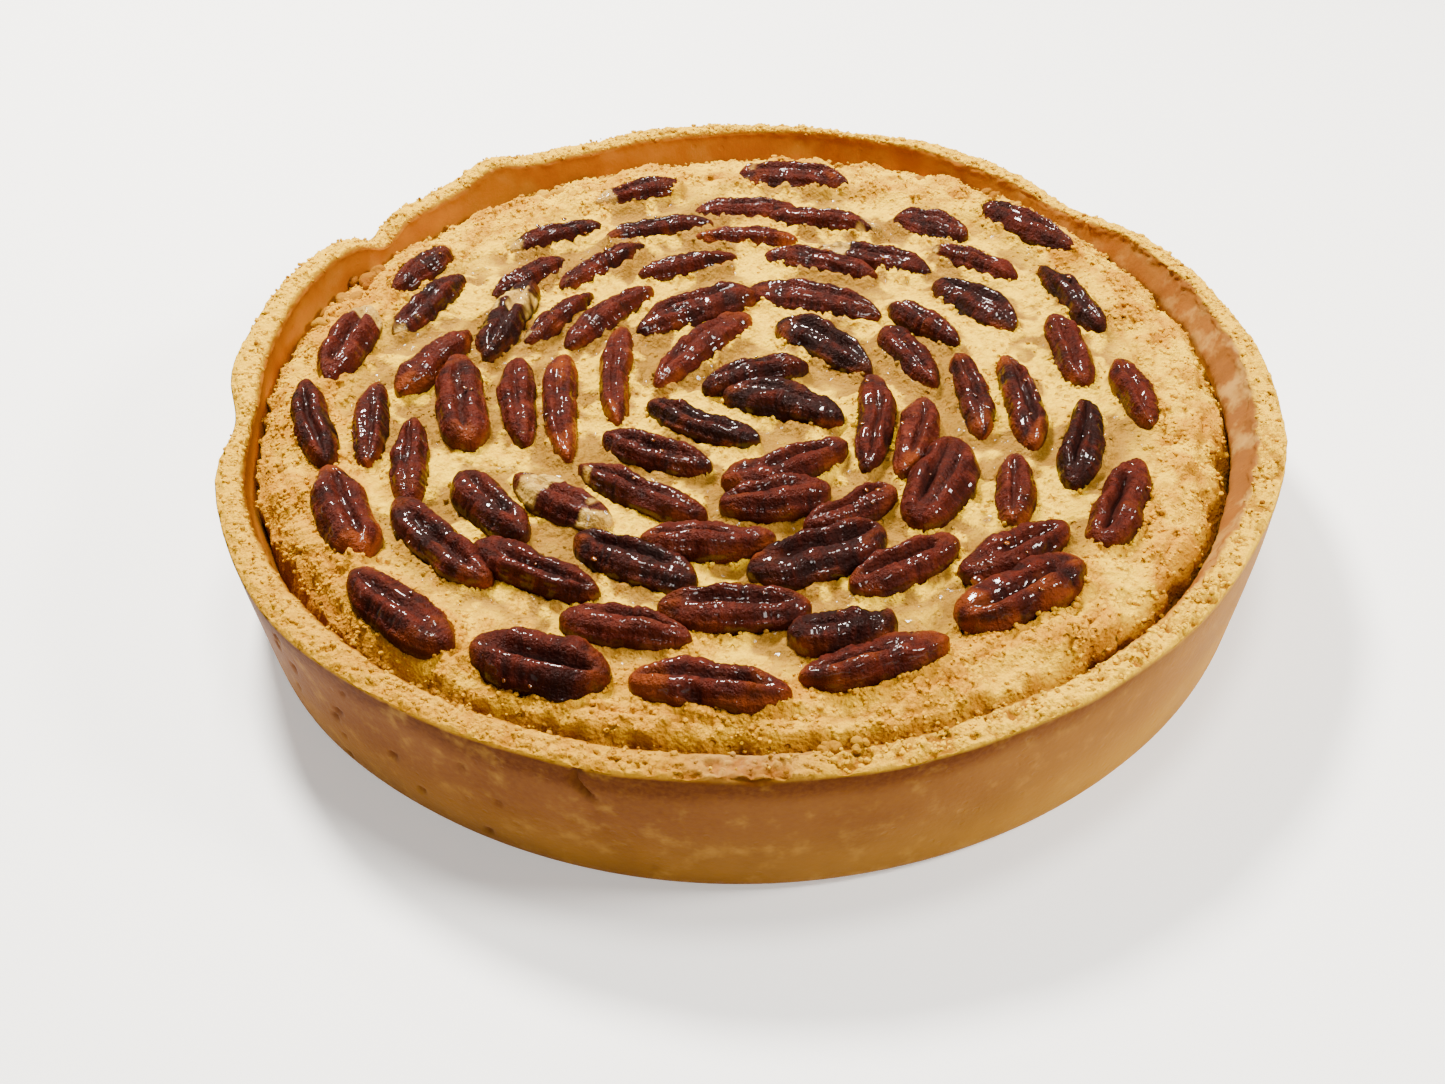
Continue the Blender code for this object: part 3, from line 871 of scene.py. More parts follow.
def pastry_material(given):
    """Cut golden crumb on the rim, baked wall outside, moist and amber inside."""
    material, graph, shader = new_material("baked_pastry")
    crumb = use_crumb(graph, 900.0, 330.0)
    mottle = graph.spread(crumb["Mottle"], 0.3, 0.7)
    broad = graph.patches(45.0, 3.0, 0.6, 0.32, 0.68)
    cut, toast, yellow, rosy, inside, hollow = graph.masks(
        "cut", "toast", "yellow", "rosy", "inside", "hollow"
    )
    wall = graph.mix(yellow, given.tan, given.yellow)
    browned = graph.combine("SUBTRACT", graph.scaled(broad, 0.22, toast), 0.11)
    wall = graph.mix(graph.spread(browned, 0.0, 1.0), wall, given.brown)
    wall = graph.mix(graph.patches(900.0, 2.0, 0.6, 0.25, 0.75, 0.16), wall, WALL_SPECK)
    wall = graph.mix(graph.patches(190.0, 3.0, 0.6, 0.5, 0.85, 0.35), wall, WALL_BLOTCH)
    amber = graph.mix(broad, given.inner, LIGHT_AMBER)
    amber = graph.mix(graph.patches(60.0, 3.0, 0.6, 0.5, 0.7, 0.45), amber, CLEAR_AMBER)
    amber = graph.mix(graph.spread(toast, 0.25, 0.75, 0.0, 0.85), amber, BAKED_AMBER)
    rim = graph.mix(mottle, given.golden, BRIGHT_RIM)
    rim = graph.mix(graph.times(yellow, 0.8), rim, YELLOW_RIM)
    # Painted shade in the crumb's low places and pores.
    rim = graph.mix(graph.spread(crumb["Height"], 0.6, 1.15, 0.3, 0.0), rim, RIM_VALLEY_SHADE)
    rim = graph.mix(graph.times(crumb["Pores"], 0.2), rim, RIM_PORE_SHADE)
    moist = graph.mix(graph.patches(100.0, 4.0, 0.6, 0.48, 0.62), given.rosy, CREAMY_DOUGH)
    moist = graph.mix(graph.times(mottle, 0.35), moist, MOIST_DOUGH)
    colour = graph.mix(inside, wall, amber)
    colour = graph.mix(rosy, colour, moist)
    colour = graph.mix(cut, colour, rim)
    rough = graph.combine("SUBTRACT", graph.scaled(cut, 0.3, 0.52), graph.times(rosy, 0.2))
    # Painted shade darkens the rim's pits and slot.
    graph.feed_all(shader.inputs, {
        "Base Color": graph.mix(hollow, colour, RIM_SHADE),
        "Roughness": rough,
        "Specular IOR Level": 0.02,
    })
    add_bump(graph, shader, graph.times(crumb["Height"], graph.scaled(cut, 0.9, 0.1)), 0.9, 0.0008)
    return material


def filling_material(given):
    """Crumbly almond filling: pale in the middle, toasted on the puffed ring, soaked by syrup."""
    material, graph, shader = new_material("almond_filling")
    crumb = use_crumb(graph, 1150.0, 400.0)
    mottle = graph.spread(crumb["Mottle"], 0.28, 0.72)
    toast, soak, hollow = graph.masks("toast", "soak", "hollow")
    colour = graph.mix(graph.times(mottle, 0.5), given.pale, BRIGHT_CRUMB)
    toasted = graph.mix(mottle, given.toasted, GOLDEN_CRUMB)
    browned = graph.scaled(graph.combine("SUBTRACT", mottle, 0.5), 0.35, toast)
    colour = graph.mix(graph.spread(browned, 0.08, 0.95), colour, toasted)
    # Painted shade in the crumb's low places, in the toasted colour.
    colour = graph.mix(graph.spread(crumb["Height"], 0.6, 1.1, 0.35, 0.0), colour, toasted)
    colour = graph.mix(soak, colour, graph.mix(mottle, given.soaked, DAMP_CRUMB))
    # Painted shade in the pores.
    colour = graph.mix(graph.times(crumb["Pores"], 0.4), colour, given.deep)
    glint = graph.patches(850.0, 1.0, 0.5, 0.62, 0.7, 0.3)
    # The deep colour paints shade into the hollows.
    graph.feed_all(shader.inputs, {
        "Base Color": graph.mix(hollow, colour, given.deep),
        "Roughness": graph.scaled(soak, -0.3, 0.85),
        "Coat Weight": graph.times(soak, glint),
        "Coat Roughness": 0.12,
        "Specular IOR Level": 0.03,
    })
    add_bump(graph, shader, graph.times(crumb["Height"], graph.scaled(soak, -0.1, 1.0)), 0.9, 0.0007)
    return material


def pecan_material(given):
    """Wrinkled skin under clear syrup, with amber tips and pale broken places."""
    material, graph, shader = new_material("glazed_pecan")
    tone, amber, cream, crease, gloss = graph.masks("tone", "amber", "cream", "crease", "gloss")
    veins = graph.noise(520.0, 4.0, 0.65)
    blotch = graph.patches(210.0, 3.0, 0.55, 0.33, 0.67)
    skin = graph.mix(graph.spread(tone, 0.0, 0.62), given.dark, given.red)
    # Paler ridge tops: painted light on the upper faces, partly paler skin.
    ridge = graph.times(graph.spread(tone, 0.2, 1.0), graph.spread(veins, 0.4, 0.7))
    skin = graph.mix(ridge, skin, given.dusty_and_lit)
    skin = graph.mix(graph.times(blotch, 0.35), skin, given.dark)
    skin = graph.mix(graph.spread(graph.scaled(blotch, 0.3, amber), 0.25, 0.85), skin, given.amber)
    # Painted shade in the creases.
    skin = graph.mix(graph.times(crease, 0.85), skin, given.dark)
    kernel = graph.mix(blotch, given.cream, TAN_KERNEL)
    graph.feed_all(shader.inputs, {
        "Base Color": graph.mix(cream, skin, kernel),
        "Roughness": graph.scaled(veins, 0.3, 0.33),
        "Coat Weight": graph.times(gloss, graph.patches(240.0, 2.0, 0.5, 0.47, 0.54, 0.6)),
        "Coat Roughness": 0.035,
        "Coat IOR": 1.5,
        "Specular IOR Level": 0.06,
    })
    add_bump(graph, shader, graph.scaled(veins, 0.8, graph.noise(1400.0, 3.0, 0.6)), 0.9, 0.0009)
    return material


def syrup_material(given):
    """Clear set syrup, darker where it is deep."""
    material, graph, shader = new_material("clear_syrup")
    depth = graph.patches(300.0, 2.0, 0.5, 0.35, 0.65)
    graph.feed_all(shader.inputs, {
        "Base Color": graph.mix(depth, given.colour, DEEP_SYRUP),
        "Roughness": graph.scaled(depth, 0.06, 0.06),
        "Coat Weight": 1.0,
        "Coat Roughness": 0.04,
    })
    return material


def crumb_material():
    """Loose baked crumb, from pale to browned."""
    material, graph, shader = new_material("loose_crumbs")
    crumb = use_crumb(graph, 1100.0, 400.0)
    (toast,) = graph.masks("toast")
    graph.feed_all(shader.inputs, {
        "Base Color": graph.mix(toast, PALE_CRUMB, BROWNED_CRUMB),
        "Roughness": graph.scaled(crumb["Mottle"], 0.2, 0.7),
        "Specular IOR Level": 0.03,
    })
    add_bump(graph, shader, crumb["Height"], 0.8, 0.0004)
    return material


# ---------------------------------------------------------------- case


def case_outline():
    """The case's turned outline in mm, from the middle of its floor over the rim to its foot."""
    floor_corner = INNER_FOOT_RADIUS - INNER_CORNER_ROUND
    hug = (float(inner_radius(HUG_HEIGHT)), HUG_HEIGHT)
    inner_low = [(floor_corner, FLOOR_THICKNESS)]
    foot = []
    crest = []
    for step in range(7):
        angle = math.radians(-15.0 * step)
        foot.append((FOOT_RADIUS - FOOT_ROUND * (1.0 - math.cos(angle)),
                     FOOT_ROUND * (1.0 + math.sin(angle))))
    for step in range(1, 7):
        angle = math.radians(-90.0 + 15.0 * step)
        inner_low.append((floor_corner + INNER_CORNER_ROUND * math.cos(angle),
                          FLOOR_THICKNESS + INNER_CORNER_ROUND * (1.0 + math.sin(angle))))
    for step in range(181):
        angle = math.radians(180.0 - step)
        across = abs(math.cos(angle)) ** CREST_POWER * math.copysign(1.0, math.cos(angle))
        crest.append((RIM_RADIUS - RIM_THICKNESS * 0.5 * (1.0 - across),
                      RIM_HEIGHT - CREST_ROUND * (1.0 - math.sin(angle) ** CREST_POWER)))
    inner_high = [hug, (float(inner_radius(SLOPE_HEIGHT)), SLOPE_HEIGHT),
                  (RIM_RADIUS - RIM_THICKNESS, RIM_HEIGHT - CREST_ROUND)]
    heights = np.linspace(RIM_HEIGHT - CREST_ROUND, FOOT_ROUND, 30)
    wall = [(outer_radius(height), height) for height in heights]
    lines = (
        ([(0.0, FLOOR_THICKNESS), (floor_corner, FLOOR_THICKNESS)], 30.0),
        (inner_low + [hug], 3.4),
        (inner_high, 1.0),
        (crest, 0.36),
        (wall, 1.15),
        (foot, 1.2),
        ([(FOOT_RADIUS - FOOT_ROUND, 0.0), (0.0, 0.0)], 40.0),
    )
    outline = [(0.0, FLOOR_THICKNESS)]
    for points, spacing in lines:
        outline.extend(evenly(points, spacing)[1:])
    return np.array(outline)


def spin_outline(outline, segments):
    """Draw the outline by extruding one corner, then spin it round the upright axis."""
    for before, after in zip(outline, outline[1:]):
        extrude(Vector((after[0] - before[0], 0.0, after[1] - before[1])) * MM)
    bpy.ops.mesh.select_all(action="SELECT")
    bpy.ops.mesh.spin(steps=segments, angle=math.tau, center=(0, 0, 0), axis=(0, 0, 1))
    bpy.ops.mesh.select_all(action="SELECT")
    bpy.ops.mesh.remove_doubles(threshold=WELD * MM)
    close_up()


def bake_case(mesh, given):
    """Turn the smooth spun case into the uneven, crumbly one, and mark its finishes."""
    x, y, height = corners_of(mesh).T
    radius = np.hypot(x, y)
    bearing = bearing_of(x, y)
    turn_x = np.where(radius > 1.0, x / np.maximum(radius, 1.0), 1.0)
    turn_y = np.where(radius > 1.0, y / np.maximum(radius, 1.0), 0.0)
    across = blend(inner_radius(height), outer_radius(height), radius)
    wall_noise = noise_at(turn_x * 4.0, turn_y * 4.0, height / RIM_HEIGHT * 2.0)
    crest_noise = noise_at(turn_x * 7.0, turn_y * 7.0, height / RIM_HEIGHT * 3.5)
    share = FOOT_SHARE + (1.0 - FOOT_SHARE) * blend(0.0, RIM_HEIGHT, height)
    outward = bumps_at(bearing, RIM_BULGES) * share + WALL_RIPPLE * wall_noise * blend(0.0, 8.0, height)
    moved = radius + inner_bulge(bearing, height) * (1.0 - across) + outward * across
    moved = np.where(radius > INNER_FOOT_RADIUS - 6.0, moved, radius)
    lift = bumps_at(bearing, CREST_BUMPS) + CREST_RIPPLE * crest_noise
    raised = height + lift * blend(HUG_HEIGHT, RIM_HEIGHT, height)

    # The rim is rounder at the left and the far side, where it isn't cut flat.
    top = blend(RIM_HEIGHT - CREST_ROUND * 0.8, RIM_HEIGHT - CREST_ROUND * 0.05, height)
    soft_rim = np.clip(near(bearing, SOFT_LEFT) + 0.8 * near(bearing, SOFT_FAR), 0.0, 1.0)
    raised = raised - soft_rim * top * SOFT_DROP * np.abs((across - 0.5) * 2.0) ** 2.2

    # Crumb, pits and seams of the cut rim.
    place = np.array((turn_x * moved, turn_y * moved, raised))
    fine = noise_at(*place / 1.1)
    cell_x, cell_y, cell_z = place / 1.9
    nearest, second = cells_at(cell_x + 0.25 * fine, cell_y, cell_z)
    coarse = noise_at(*place / 4.5)
    sparse = noise_at(place[0] / 7.0, place[1] / 7.0, place[2] / 7.0 + 9.0)
    holes = noise_at(place[0] / 2.5, place[1] / 2.5, place[2] / 2.5 + 5.0)
    cut = smooth(RIM_HEIGHT - 1.5, RIM_HEIGHT - 0.5, height) * smooth(0.02, 0.18, across)
    outer_lip = smooth(0.9, 1.0, across)
    seam = smooth(0.22, 0.04, second - nearest) * smooth(-0.3, 0.2, sparse)
    pits = np.maximum(smooth(0.1, 0.36, holes + 0.3 * sparse), 0.7 * seam)
    pits *= cut * (1.0 - outer_lip) * (0.12 + 0.88 * near(bearing, OPEN_RIM))
    grain = (0.5 - nearest) * given.grain + 0.4 * fine + 0.35 * coarse
    raised = raised + (cut * grain - given.pit_depth * pits)
    edge_crumb = smooth(0.25, 0.0, across) * smooth(RIM_HEIGHT - 5.0, RIM_HEIGHT - 1.0, height)
    moved -= edge_crumb * (0.35 * fine + 0.5 * coarse)
    moved += outer_lip * smooth(RIM_HEIGHT - 2.6, RIM_HEIGHT - 0.2, height) * (0.18 * fine + 0.25 * coarse)

    # Small dents in the outer wall, the slumped inside, the torn slot and the crack.
    far = smooth(0.98, 1.0, across) * blend(2.0, 5.0, height)
    dents = smooth(0.2, 0.09, cells_at(place[0] / 8.0, place[1] / 8.0, raised / 7.0)[0])
    dents *= near(bearing, DENTED_WALL) * far * (1.0 - cut)
    slump = near(bearing, SLUMPED_INSIDE) * smooth(0.3, 0.1, across) * smooth(26.0, 29.0, height)
    slot_line = RIM_HEIGHT - 0.9 + 0.25 * np.sin(bearing * 1.3)
    slot = bell(height - slot_line, 0.45) * smooth(0.85, 0.97, across) * near(bearing, TORN_SLOT)
    crack_line = CRACK_BEARING + 1.6 * np.sin(height / 3.1) + 0.12 * (height - 30.0)
    crack = bell(bearing - crack_line, CRACK_HALF_WIDTH) * far * smooth(26.0, 30.0, height)
    moved -= dents * DENT_DEPTH
    moved -= slump * (0.6 * coarse + 0.25 * fine)
    moved -= slot * SLOT_DEPTH
    moved -= crack * CRACK_DEPTH
    move_corners(mesh, turn_x * moved, turn_y * moved, np.where(height < 0.01, 0.0, raised))

    front = near(bearing, FRONT_WALL)
    left = near(bearing, LEFT_WALL)
    right = near(bearing, RIGHT_WALL) + near(bearing, FAR_RIGHT_WALL)
    band = smooth(RIM_HEIGHT - 9.0, RIM_HEIGHT - 1.5, height)
    # Browner band under the rim, at the front and on the left; the dents and the crack get painted shade in
    # the same mask.
    toast = band * (0.25 + 0.6 * front + 0.25 * left - 0.2 * right)
    toast += 0.1 + 0.2 * front + 0.12 * left + 0.8 * dents + 1.5 * crack
    # Yellower towards the foot as painted bounce light from below, and baked paler on the right.
    yellow = smooth(24.0, 4.0, height) * (0.35 + 0.4 * right) + 0.55 * right
    pale_rim = 0.9 * near(bearing, PALE_LEFT_RIM) + 0.9 * near(bearing, PALE_FAR_RIM) + right
    pale_rim = pale_rim + 0.5 * near(bearing, PALE_FRONT_RIM)
    outside = np.where(height < RIM_HEIGHT - 4.0, smooth(0.4, 0.6, across), outer_lip)
    patch = near(bearing, TORN_PATCH) * smooth(RIM_HEIGHT - 2.0, RIM_HEIGHT, height)
    rosy = np.clip(near(bearing, ROSY_INSIDE) * smooth(27.0, 30.0, height), 0.0, 1.0) * (1.0 - outside)
    # Painted shade in the rim's pits and the torn slot.
    add_masks(
        mesh, cut=cut * (1.0 - 0.9 * patch), toast=toast,
        yellow=np.where(height > RIM_HEIGHT - 1.6, pale_rim, yellow),
        rosy=np.maximum(rosy, patch), inside=1.0 - outside, hollow=pits * 0.9 + slot,
    )


class TART_OT_make_case(bpy.types.Operator):
    """Spin the pastry case and give it its bulges, cut rim and baked colours"""

    bl_idname = "tart.make_case"
    bl_label = "Make case"

    def execute(self, context):
        given = context.scene.tart_case
        outline = case_outline()
        start = (outline[0][0] * MM, 0.0, outline[0][1] * MM)
        piece = start_piece(bpy.ops.mesh.primitive_plane_add, "pastry_case", size=0.01, location=start)
        bpy.ops.mesh.merge(type="CENTER")
        settle()
        edit_all()
        spin_outline(outline, given.segments)
        bake_case(piece.data, given)
        end_piece(piece, pastry_material(given))
        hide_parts("crust")
        return {"FINISHED"}


# ---------------------------------------------------------------- filling


def round_square(u, v):
    """Move points of a square (-1 to 1) onto the unit disc."""
    wide = np.abs(u) >= np.abs(v)
    far = np.maximum(np.abs(u), np.abs(v))
    slant = np.where(wide, v / np.where(u == 0.0, 1.0, u), u / np.where(v == 0.0, 1.0, v))
    angle = slant * math.pi / 4.0
    along = far * np.cos(angle)
    aside = far * np.sin(angle)
    x = np.where(wide, np.sign(u) * along, np.sign(v) * aside)
    y = np.where(wide, np.sign(u) * aside, np.sign(v) * along)
    return x, y


def shape_filling(mesh, given):
    """Puff, crumble and soak the filling's top, and climb it round the pecans."""
    x, y, level = corners_of(mesh).T
    on_top = level > FILL_LEVEL - 0.01
    radius = np.hypot(x, y)
    bearing = bearing_of(x, y)
    full = float(inner_radius(HUG_HEIGHT))
    share = radius / full

    # Draw the edge in from the wall, and bite it unevenly.
    draw_in = (fill_edge_radius(bearing) / full - 1.0) * blend(60.0, full, radius)
    jag = layer((x, y), 5.0, 3.0) + 0.6 * layer((x, y), 2.2, 5.0)
    filled = 0.85 * blend(FILL_LEVEL - 1.0, FILL_LEVEL - 5.0, level)
    moved = radius * (1.0 + draw_in * np.where(level > HUG_HEIGHT + 0.5, 1.0 - filled, 0.0))
    bite = smooth(0.0, 0.5, layer((x, y), 7.0, 101.0)) * (0.9 + 1.4 * near(bearing, BITTEN_EDGE))
    edge = smooth(full * 0.93, full, radius)
    moved += np.where(blend(HUG_HEIGHT, FILL_LEVEL, level) > 0.3, edge * (1.1 * jag - bite), 0.0)
    moved = np.where(level < HUG_HEIGHT + 0.5, radius, moved)
    x = x / np.maximum(radius, 0.001) * moved
    y = y / np.maximum(radius, 0.001) * moved
    plan = (x, y)
    plain_top = filling_level(x, y)
    shoulder = SHOULDER_DROP * (0.08 * smooth(0.9, 0.945, share) + 0.22 * smooth(0.945, 0.98, share))
    shoulder = shoulder + SHOULDER_DROP * 0.7 * smooth(0.97, 1.0, share)
    top = plain_top - shoulder

    # Lumps, crumb, pores and the folds of the puffed ring.
    off_nut = off_pecans(x, y)
    off_nut += 0.65 * layer(plan, 2.3, 91.0) * smooth(4.0, 1.0, off_nut)
    off_nut += 0.35
    lump = layer(plan, 9.0, 1.0) + 0.5 * layer(plan, 4.2, 2.0)
    nearest = cells_at(x / 1.7, y / 1.7, 0.3)[0]
    fine = layer(plan, 1.9, 4.0)
    wet_fine = layer(plan, 4.0, 13.0)
    wet = layer(plan, 17.0, 11.0) + 0.35 * wet_fine
    middle = smooth(98.0, 86.0, moved)
    soak = smooth(-0.08, 0.02, wet) * smooth(11.0, 4.0, off_nut)
    soak = np.maximum(soak, 0.75 * smooth(2.2, 0.2, off_nut) * smooth(-0.15, 0.25, wet_fine)) * middle
    clump, next_clump = cells_at(x / 3.6 + 0.2 * fine, y / 3.6, 8.3)
    crevice = smooth(0.16, 0.0, next_clump - clump) * smooth(-0.25, 0.25, lump)
    crumb = given.crumb * (0.6 * (0.55 - nearest) + 0.4 * fine - 0.65 * crevice)
    pore = smooth(0.12, 0.04, cells_at(x / 5.5, y / 5.5, 21.0)[0])
    puff = smooth(84.0, 95.0, moved)
    clod = layer(plan, 3.4, 61.0) * puff
    top += given.lump * ((1.0 + 2.4 * puff) * lump + 0.9 * clod) + crumb * (1.0 - 0.4 * soak) - pore
    ring = smooth(86.0, 94.0, moved) * smooth(112.0, 106.0, moved)
    fold = noise_at(moved / 5.0, bearing / 14.0, 31.0)
    crackle = bell(fold, 0.09) * ring
    top += 0.9 * ring * np.abs(fold) - 0.9 * crackle * smooth(-0.2, 0.2, lump)

    # The crumb climbs round each pecan, sinks where it is wet and gapes along the front rim.
    climb = bell(np.maximum(off_nut, 0.0), 2.6) * smooth(-0.6, 0.1, off_nut)
    climb = climb * (1.0 + 0.6 * near(bearing, FAR_SIDE))
    top += given.hug * climb * (0.55 + 0.45 * layer(plan, 2.6, 41.0))
    under = smooth(0.1, -1.2, off_nut)
    sunken = smooth(-0.25, 0.2, wet) * smooth(9.0, 2.0, off_nut) * middle
    top -= 1.3 * under + 1.1 * sunken * (1.0 - climb)
    gaping = near(bearing, FRONT_SEAM)
    front_seam = smooth(0.972, 0.99, share) * gaping
    top += 0.9 * smooth(0.88, 0.94, share) * gaping - 1.9 * front_seam
    side = (~on_top) & (level > HUG_HEIGHT + 0.5)
    rim_level = plain_top - SHOULDER_DROP
    fall = (FILL_LEVEL - level) / (FILL_LEVEL - HUG_HEIGHT)
    z = np.where(side, rim_level + (HUG_HEIGHT - rim_level) * fall, np.where(on_top, top, level))
    move_corners(mesh, x, y, z)

    browning = layer(plan, 13.0, 51.0)
    toast = smooth(84.0, 98.0, moved) * (0.3 + 0.4 * browning + 0.6 * smooth(-0.2, 0.5, lump))
    toast += 0.35 * smooth(0.2, 0.5, browning) * middle
    toast += 0.45 * near(bearing, BROWN_LEFT) * smooth(86.0, 96.0, moved)
    toast += smooth(0.98, 1.0, share) * 0.35
    toast += 0.8 * near(bearing, BROWN_SLUMP) * smooth(97.0, 104.0, moved)
    toast += 0.3 * near(bearing, BROWN_FRONT) * smooth(74.0, 88.0, moved)
    toast += 0.25 * smooth(3.0, 0.4, off_nut)
    # Painted shade in the cracks, pores, crevices and cell edges, under the pecans' edges, down the
    # filling's sides and along the front seam.
    hollow = 0.55 * crackle + 0.8 * pore * on_top + 0.55 * under + np.where(on_top, 0.0, 0.6)
    # Painted contact shadow along the pecans' edges, partly dark syrup.
    hollow += 0.6 * smooth(0.9, 0.2, off_nut) * smooth(-0.1, 0.25, wet_fine) * on_top
    hollow += 0.2 * smooth(0.55, 0.8, nearest) + 0.35 * crevice * (1.0 - soak)
    hollow += 0.8 * front_seam
    add_masks(mesh, toast=toast, soak=soak, hollow=hollow)


class TART_OT_make_filling(bpy.types.Operator):
    """Extrude the almond filling from a grid, round it off and crumble its top"""

    bl_idname = "tart.make_filling"
    bl_label = "Make filling"

    def execute(self, context):
        given = context.scene.tart_filling
        full = float(inner_radius(HUG_HEIGHT))
        piece = start_piece(
            bpy.ops.mesh.primitive_grid_add, "almond_filling", size=2.0 * full * MM,
            x_subdivisions=given.cells, y_subdivisions=given.cells, location=(0, 0, FILL_LEVEL * MM),
        )
        settle()
        x, y, height = corners_of(piece.data).T
        x, y = round_square(x / full, y / full)
        move_corners(piece.data, x * full, y * full, height)
        edit_all()
        bpy.ops.mesh.region_to_loop()
        foot = FLOOR_THICKNESS + INNER_CORNER_ROUND
        for depth in (*SIDE_STEPS, FILL_LEVEL - sum(SIDE_STEPS) - foot):
            extrude((0, 0, -depth * MM))
        inner = INNER_FOOT_RADIUS - GAP
        bpy.ops.transform.resize(value=(inner / full, inner / full, 1.0))
        extrude((0, 0, (FLOOR_THICKNESS + GAP - foot) * MM))
        corner = (INNER_FOOT_RADIUS - INNER_CORNER_ROUND) / inner
        bpy.ops.transform.resize(value=(corner, corner, 1.0))
        bpy.ops.mesh.edge_face_add()
        bpy.ops.mesh.quads_convert_to_tris(quad_method="BEAUTY", ngon_method="BEAUTY")
        bpy.ops.mesh.select_all(action="SELECT")
        close_up()
        shape_filling(piece.data, given)
        end_piece(piece, filling_material(given))
        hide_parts("filling")
        return {"FINISHED"}


# ---------------------------------------------------------------- pecans


def shape_half(mesh, place, given, draw):
    """Turn a ball, tips up and down its Z axis, into one wrinkled pecan half in its place."""
    ball_x, ball_y, ball_z = corners_of(mesh).T
    reach = np.clip(ball_z, -1.0, 1.0)
    turn = (np.arctan2(ball_y, ball_x) % math.tau) / math.tau
    below = 1.0 + (turn - TOP_SHARE) / (1.0 - TOP_SHARE)
    angle = np.where(turn < TOP_SHARE, turn / TOP_SHARE, below) * math.pi
    look = place.look
    taper = draw.choice((-1.0, 1.0)) * draw.uniform(0.05, 0.16)
    line_off = draw.uniform(-0.16, 0.16)
    spacing = draw.uniform(1.5, 2.4)
    seed = draw.uniform(0.0, 90.0)
    lean = draw.uniform(-0.16, 0.16)
    roll = draw.uniform(-0.05, 0.05)
    opens = draw.uniform(-0.95, -0.75)
    closes = draw.uniform(0.4, 0.85)
    facing = draw.choice((-1.0, 1.0))

    # Two lobes either side of a groove: v is the place across the half, -1 to 1.
    ahead = (reach + 1.0) * place.length / 2.0
    bulk = np.maximum(0.0, 1.0 - np.abs(reach) ** 2.8) ** 0.52
    pinch = noise_at(ahead / 6.0, seed, 11.0)
    half_width = place.width / 2.0 * bulk * (1.0 + taper * reach) * (1.0 + 0.16 * pinch)
    up = np.sin(angle)
    v = np.sign(np.cos(angle)) * np.abs(np.cos(angle)) ** 0.9
    line = line_off + 0.16 * noise_at(ahead / 8.0, seed, 0.0)
    ends = np.clip(1.0 - np.abs(reach) ** 4, 0.0, 1.0)
    channel = smooth(opens, opens + 0.25, reach * facing) * smooth(closes, closes - 0.3, reach * facing)
    gap = (0.24 + 0.1 * look["groove"]) * (0.35 + 0.65 * ends)
    on_right = v > line
    centre = np.where(on_right, line + gap, line - gap)
    outer = np.where(on_right, (v - centre) / (1.02 - centre), (centre - v) / (1.02 + centre))
    outer = np.clip(outer, 0.0, 1.0)
    inner = np.clip(np.where(on_right, (centre - v) / gap, (v - centre) / gap), 0.0, 1.0)
    deep = 0.12 * ends + 0.6 * look["groove"] * channel
    profile = (1.0 - outer ** 2.3) ** 0.5 * (1.0 - deep * inner ** 1.4)
    profile -= 0.1 * bell(outer - 0.74, 0.09) * ends
    strand = 0.5 + 0.5 * np.cos(math.tau * look["strands"] * (v + 0.25))
    strand *= ends * smooth(0.0, 1.0, look["strands"]) * (1.0 - outer)
    profile -= 0.42 * strand ** 3
    profile *= 1.0 + 0.09 * pinch + lean * np.where(on_right, 1.0, -1.0) * smooth(0.0, 0.5, np.abs(v - line))

    # Wrinkles, ribs and knobs, each lobe with its own.
    side = half_width * v
    lobe_seed = np.where(on_right, seed + 3.0, seed + 43.0)
    warp = 0.7 * noise_at(ahead / 5.0, v, seed + 9.0)
    wave = noise_at(ahead / spacing + warp, v * 0.9, lobe_seed)
    fold = np.minimum(1.0, np.abs(wave) * 2.3) ** 0.6
    rib = noise_at(ahead / 0.62 + warp * 1.5, v * 0.7, lobe_seed + 20.0)
    ridge = noise_at(ahead / 7.0 + warp * 0.4, v * 3.4, lobe_seed + 50.0)
    knob = noise_at(ahead / 3.8, side / 3.0, seed + 7.0)
    small = noise_at(ahead / 0.95, side / 1.3, seed + 15.0)
    on_lobe = smooth(0.02, 0.3, up) * (1.0 - 0.75 * inner ** 3) * (0.3 + 0.7 * ends)
    bends = 0.5 * (fold - 0.6) + 0.5 * rib + 0.8 * ridge
    wrinkle = (given.wrinkle * bends + 0.06 * small) * on_lobe
    full = place.height * np.maximum(0.0, 1.0 - np.abs(reach) ** 2.6) ** 0.5 * (1.0 + 0.06 * pinch)
    tip = place.height * 0.24 * (1.0 - ends) * up
    rise = full * np.maximum(profile, 0.0) + wrinkle + 0.4 * knob * on_lobe + tip + SEAT_GAP * up
    side = side + wrinkle * v * 0.45 + 0.35 * knob * v * on_lobe
    rise = np.where(up > -0.001, rise + roll * side * up, given.sink * up * bulk)

    # Broken places that show the kernel, and lumps of set syrup.
    broken = look["cream_start"] * bell(reach + look["chunk"], 0.34)
    broken = broken + look["cream_end"] * smooth(0.0, 0.9, reach)
    cream_noise = noise_at(ahead / 3.4, side / 3.0, seed + 17.0)
    cream = smooth(0.42, 0.56, broken * (1.0 + 0.9 * cream_noise)) * smooth(0.1, 0.4, up)
    lumps = bell(reach - 0.3, 0.2) + bell(reach - 0.85, 0.14)
    rise += 1.9 * look["lumps"] * lumps * smooth(0.0, 0.6, up) * (1.0 - outer ** 2)
    rise += cream * (0.5 * noise_at(ahead / 1.6, side / 1.6, seed + 27.0) - 0.3)

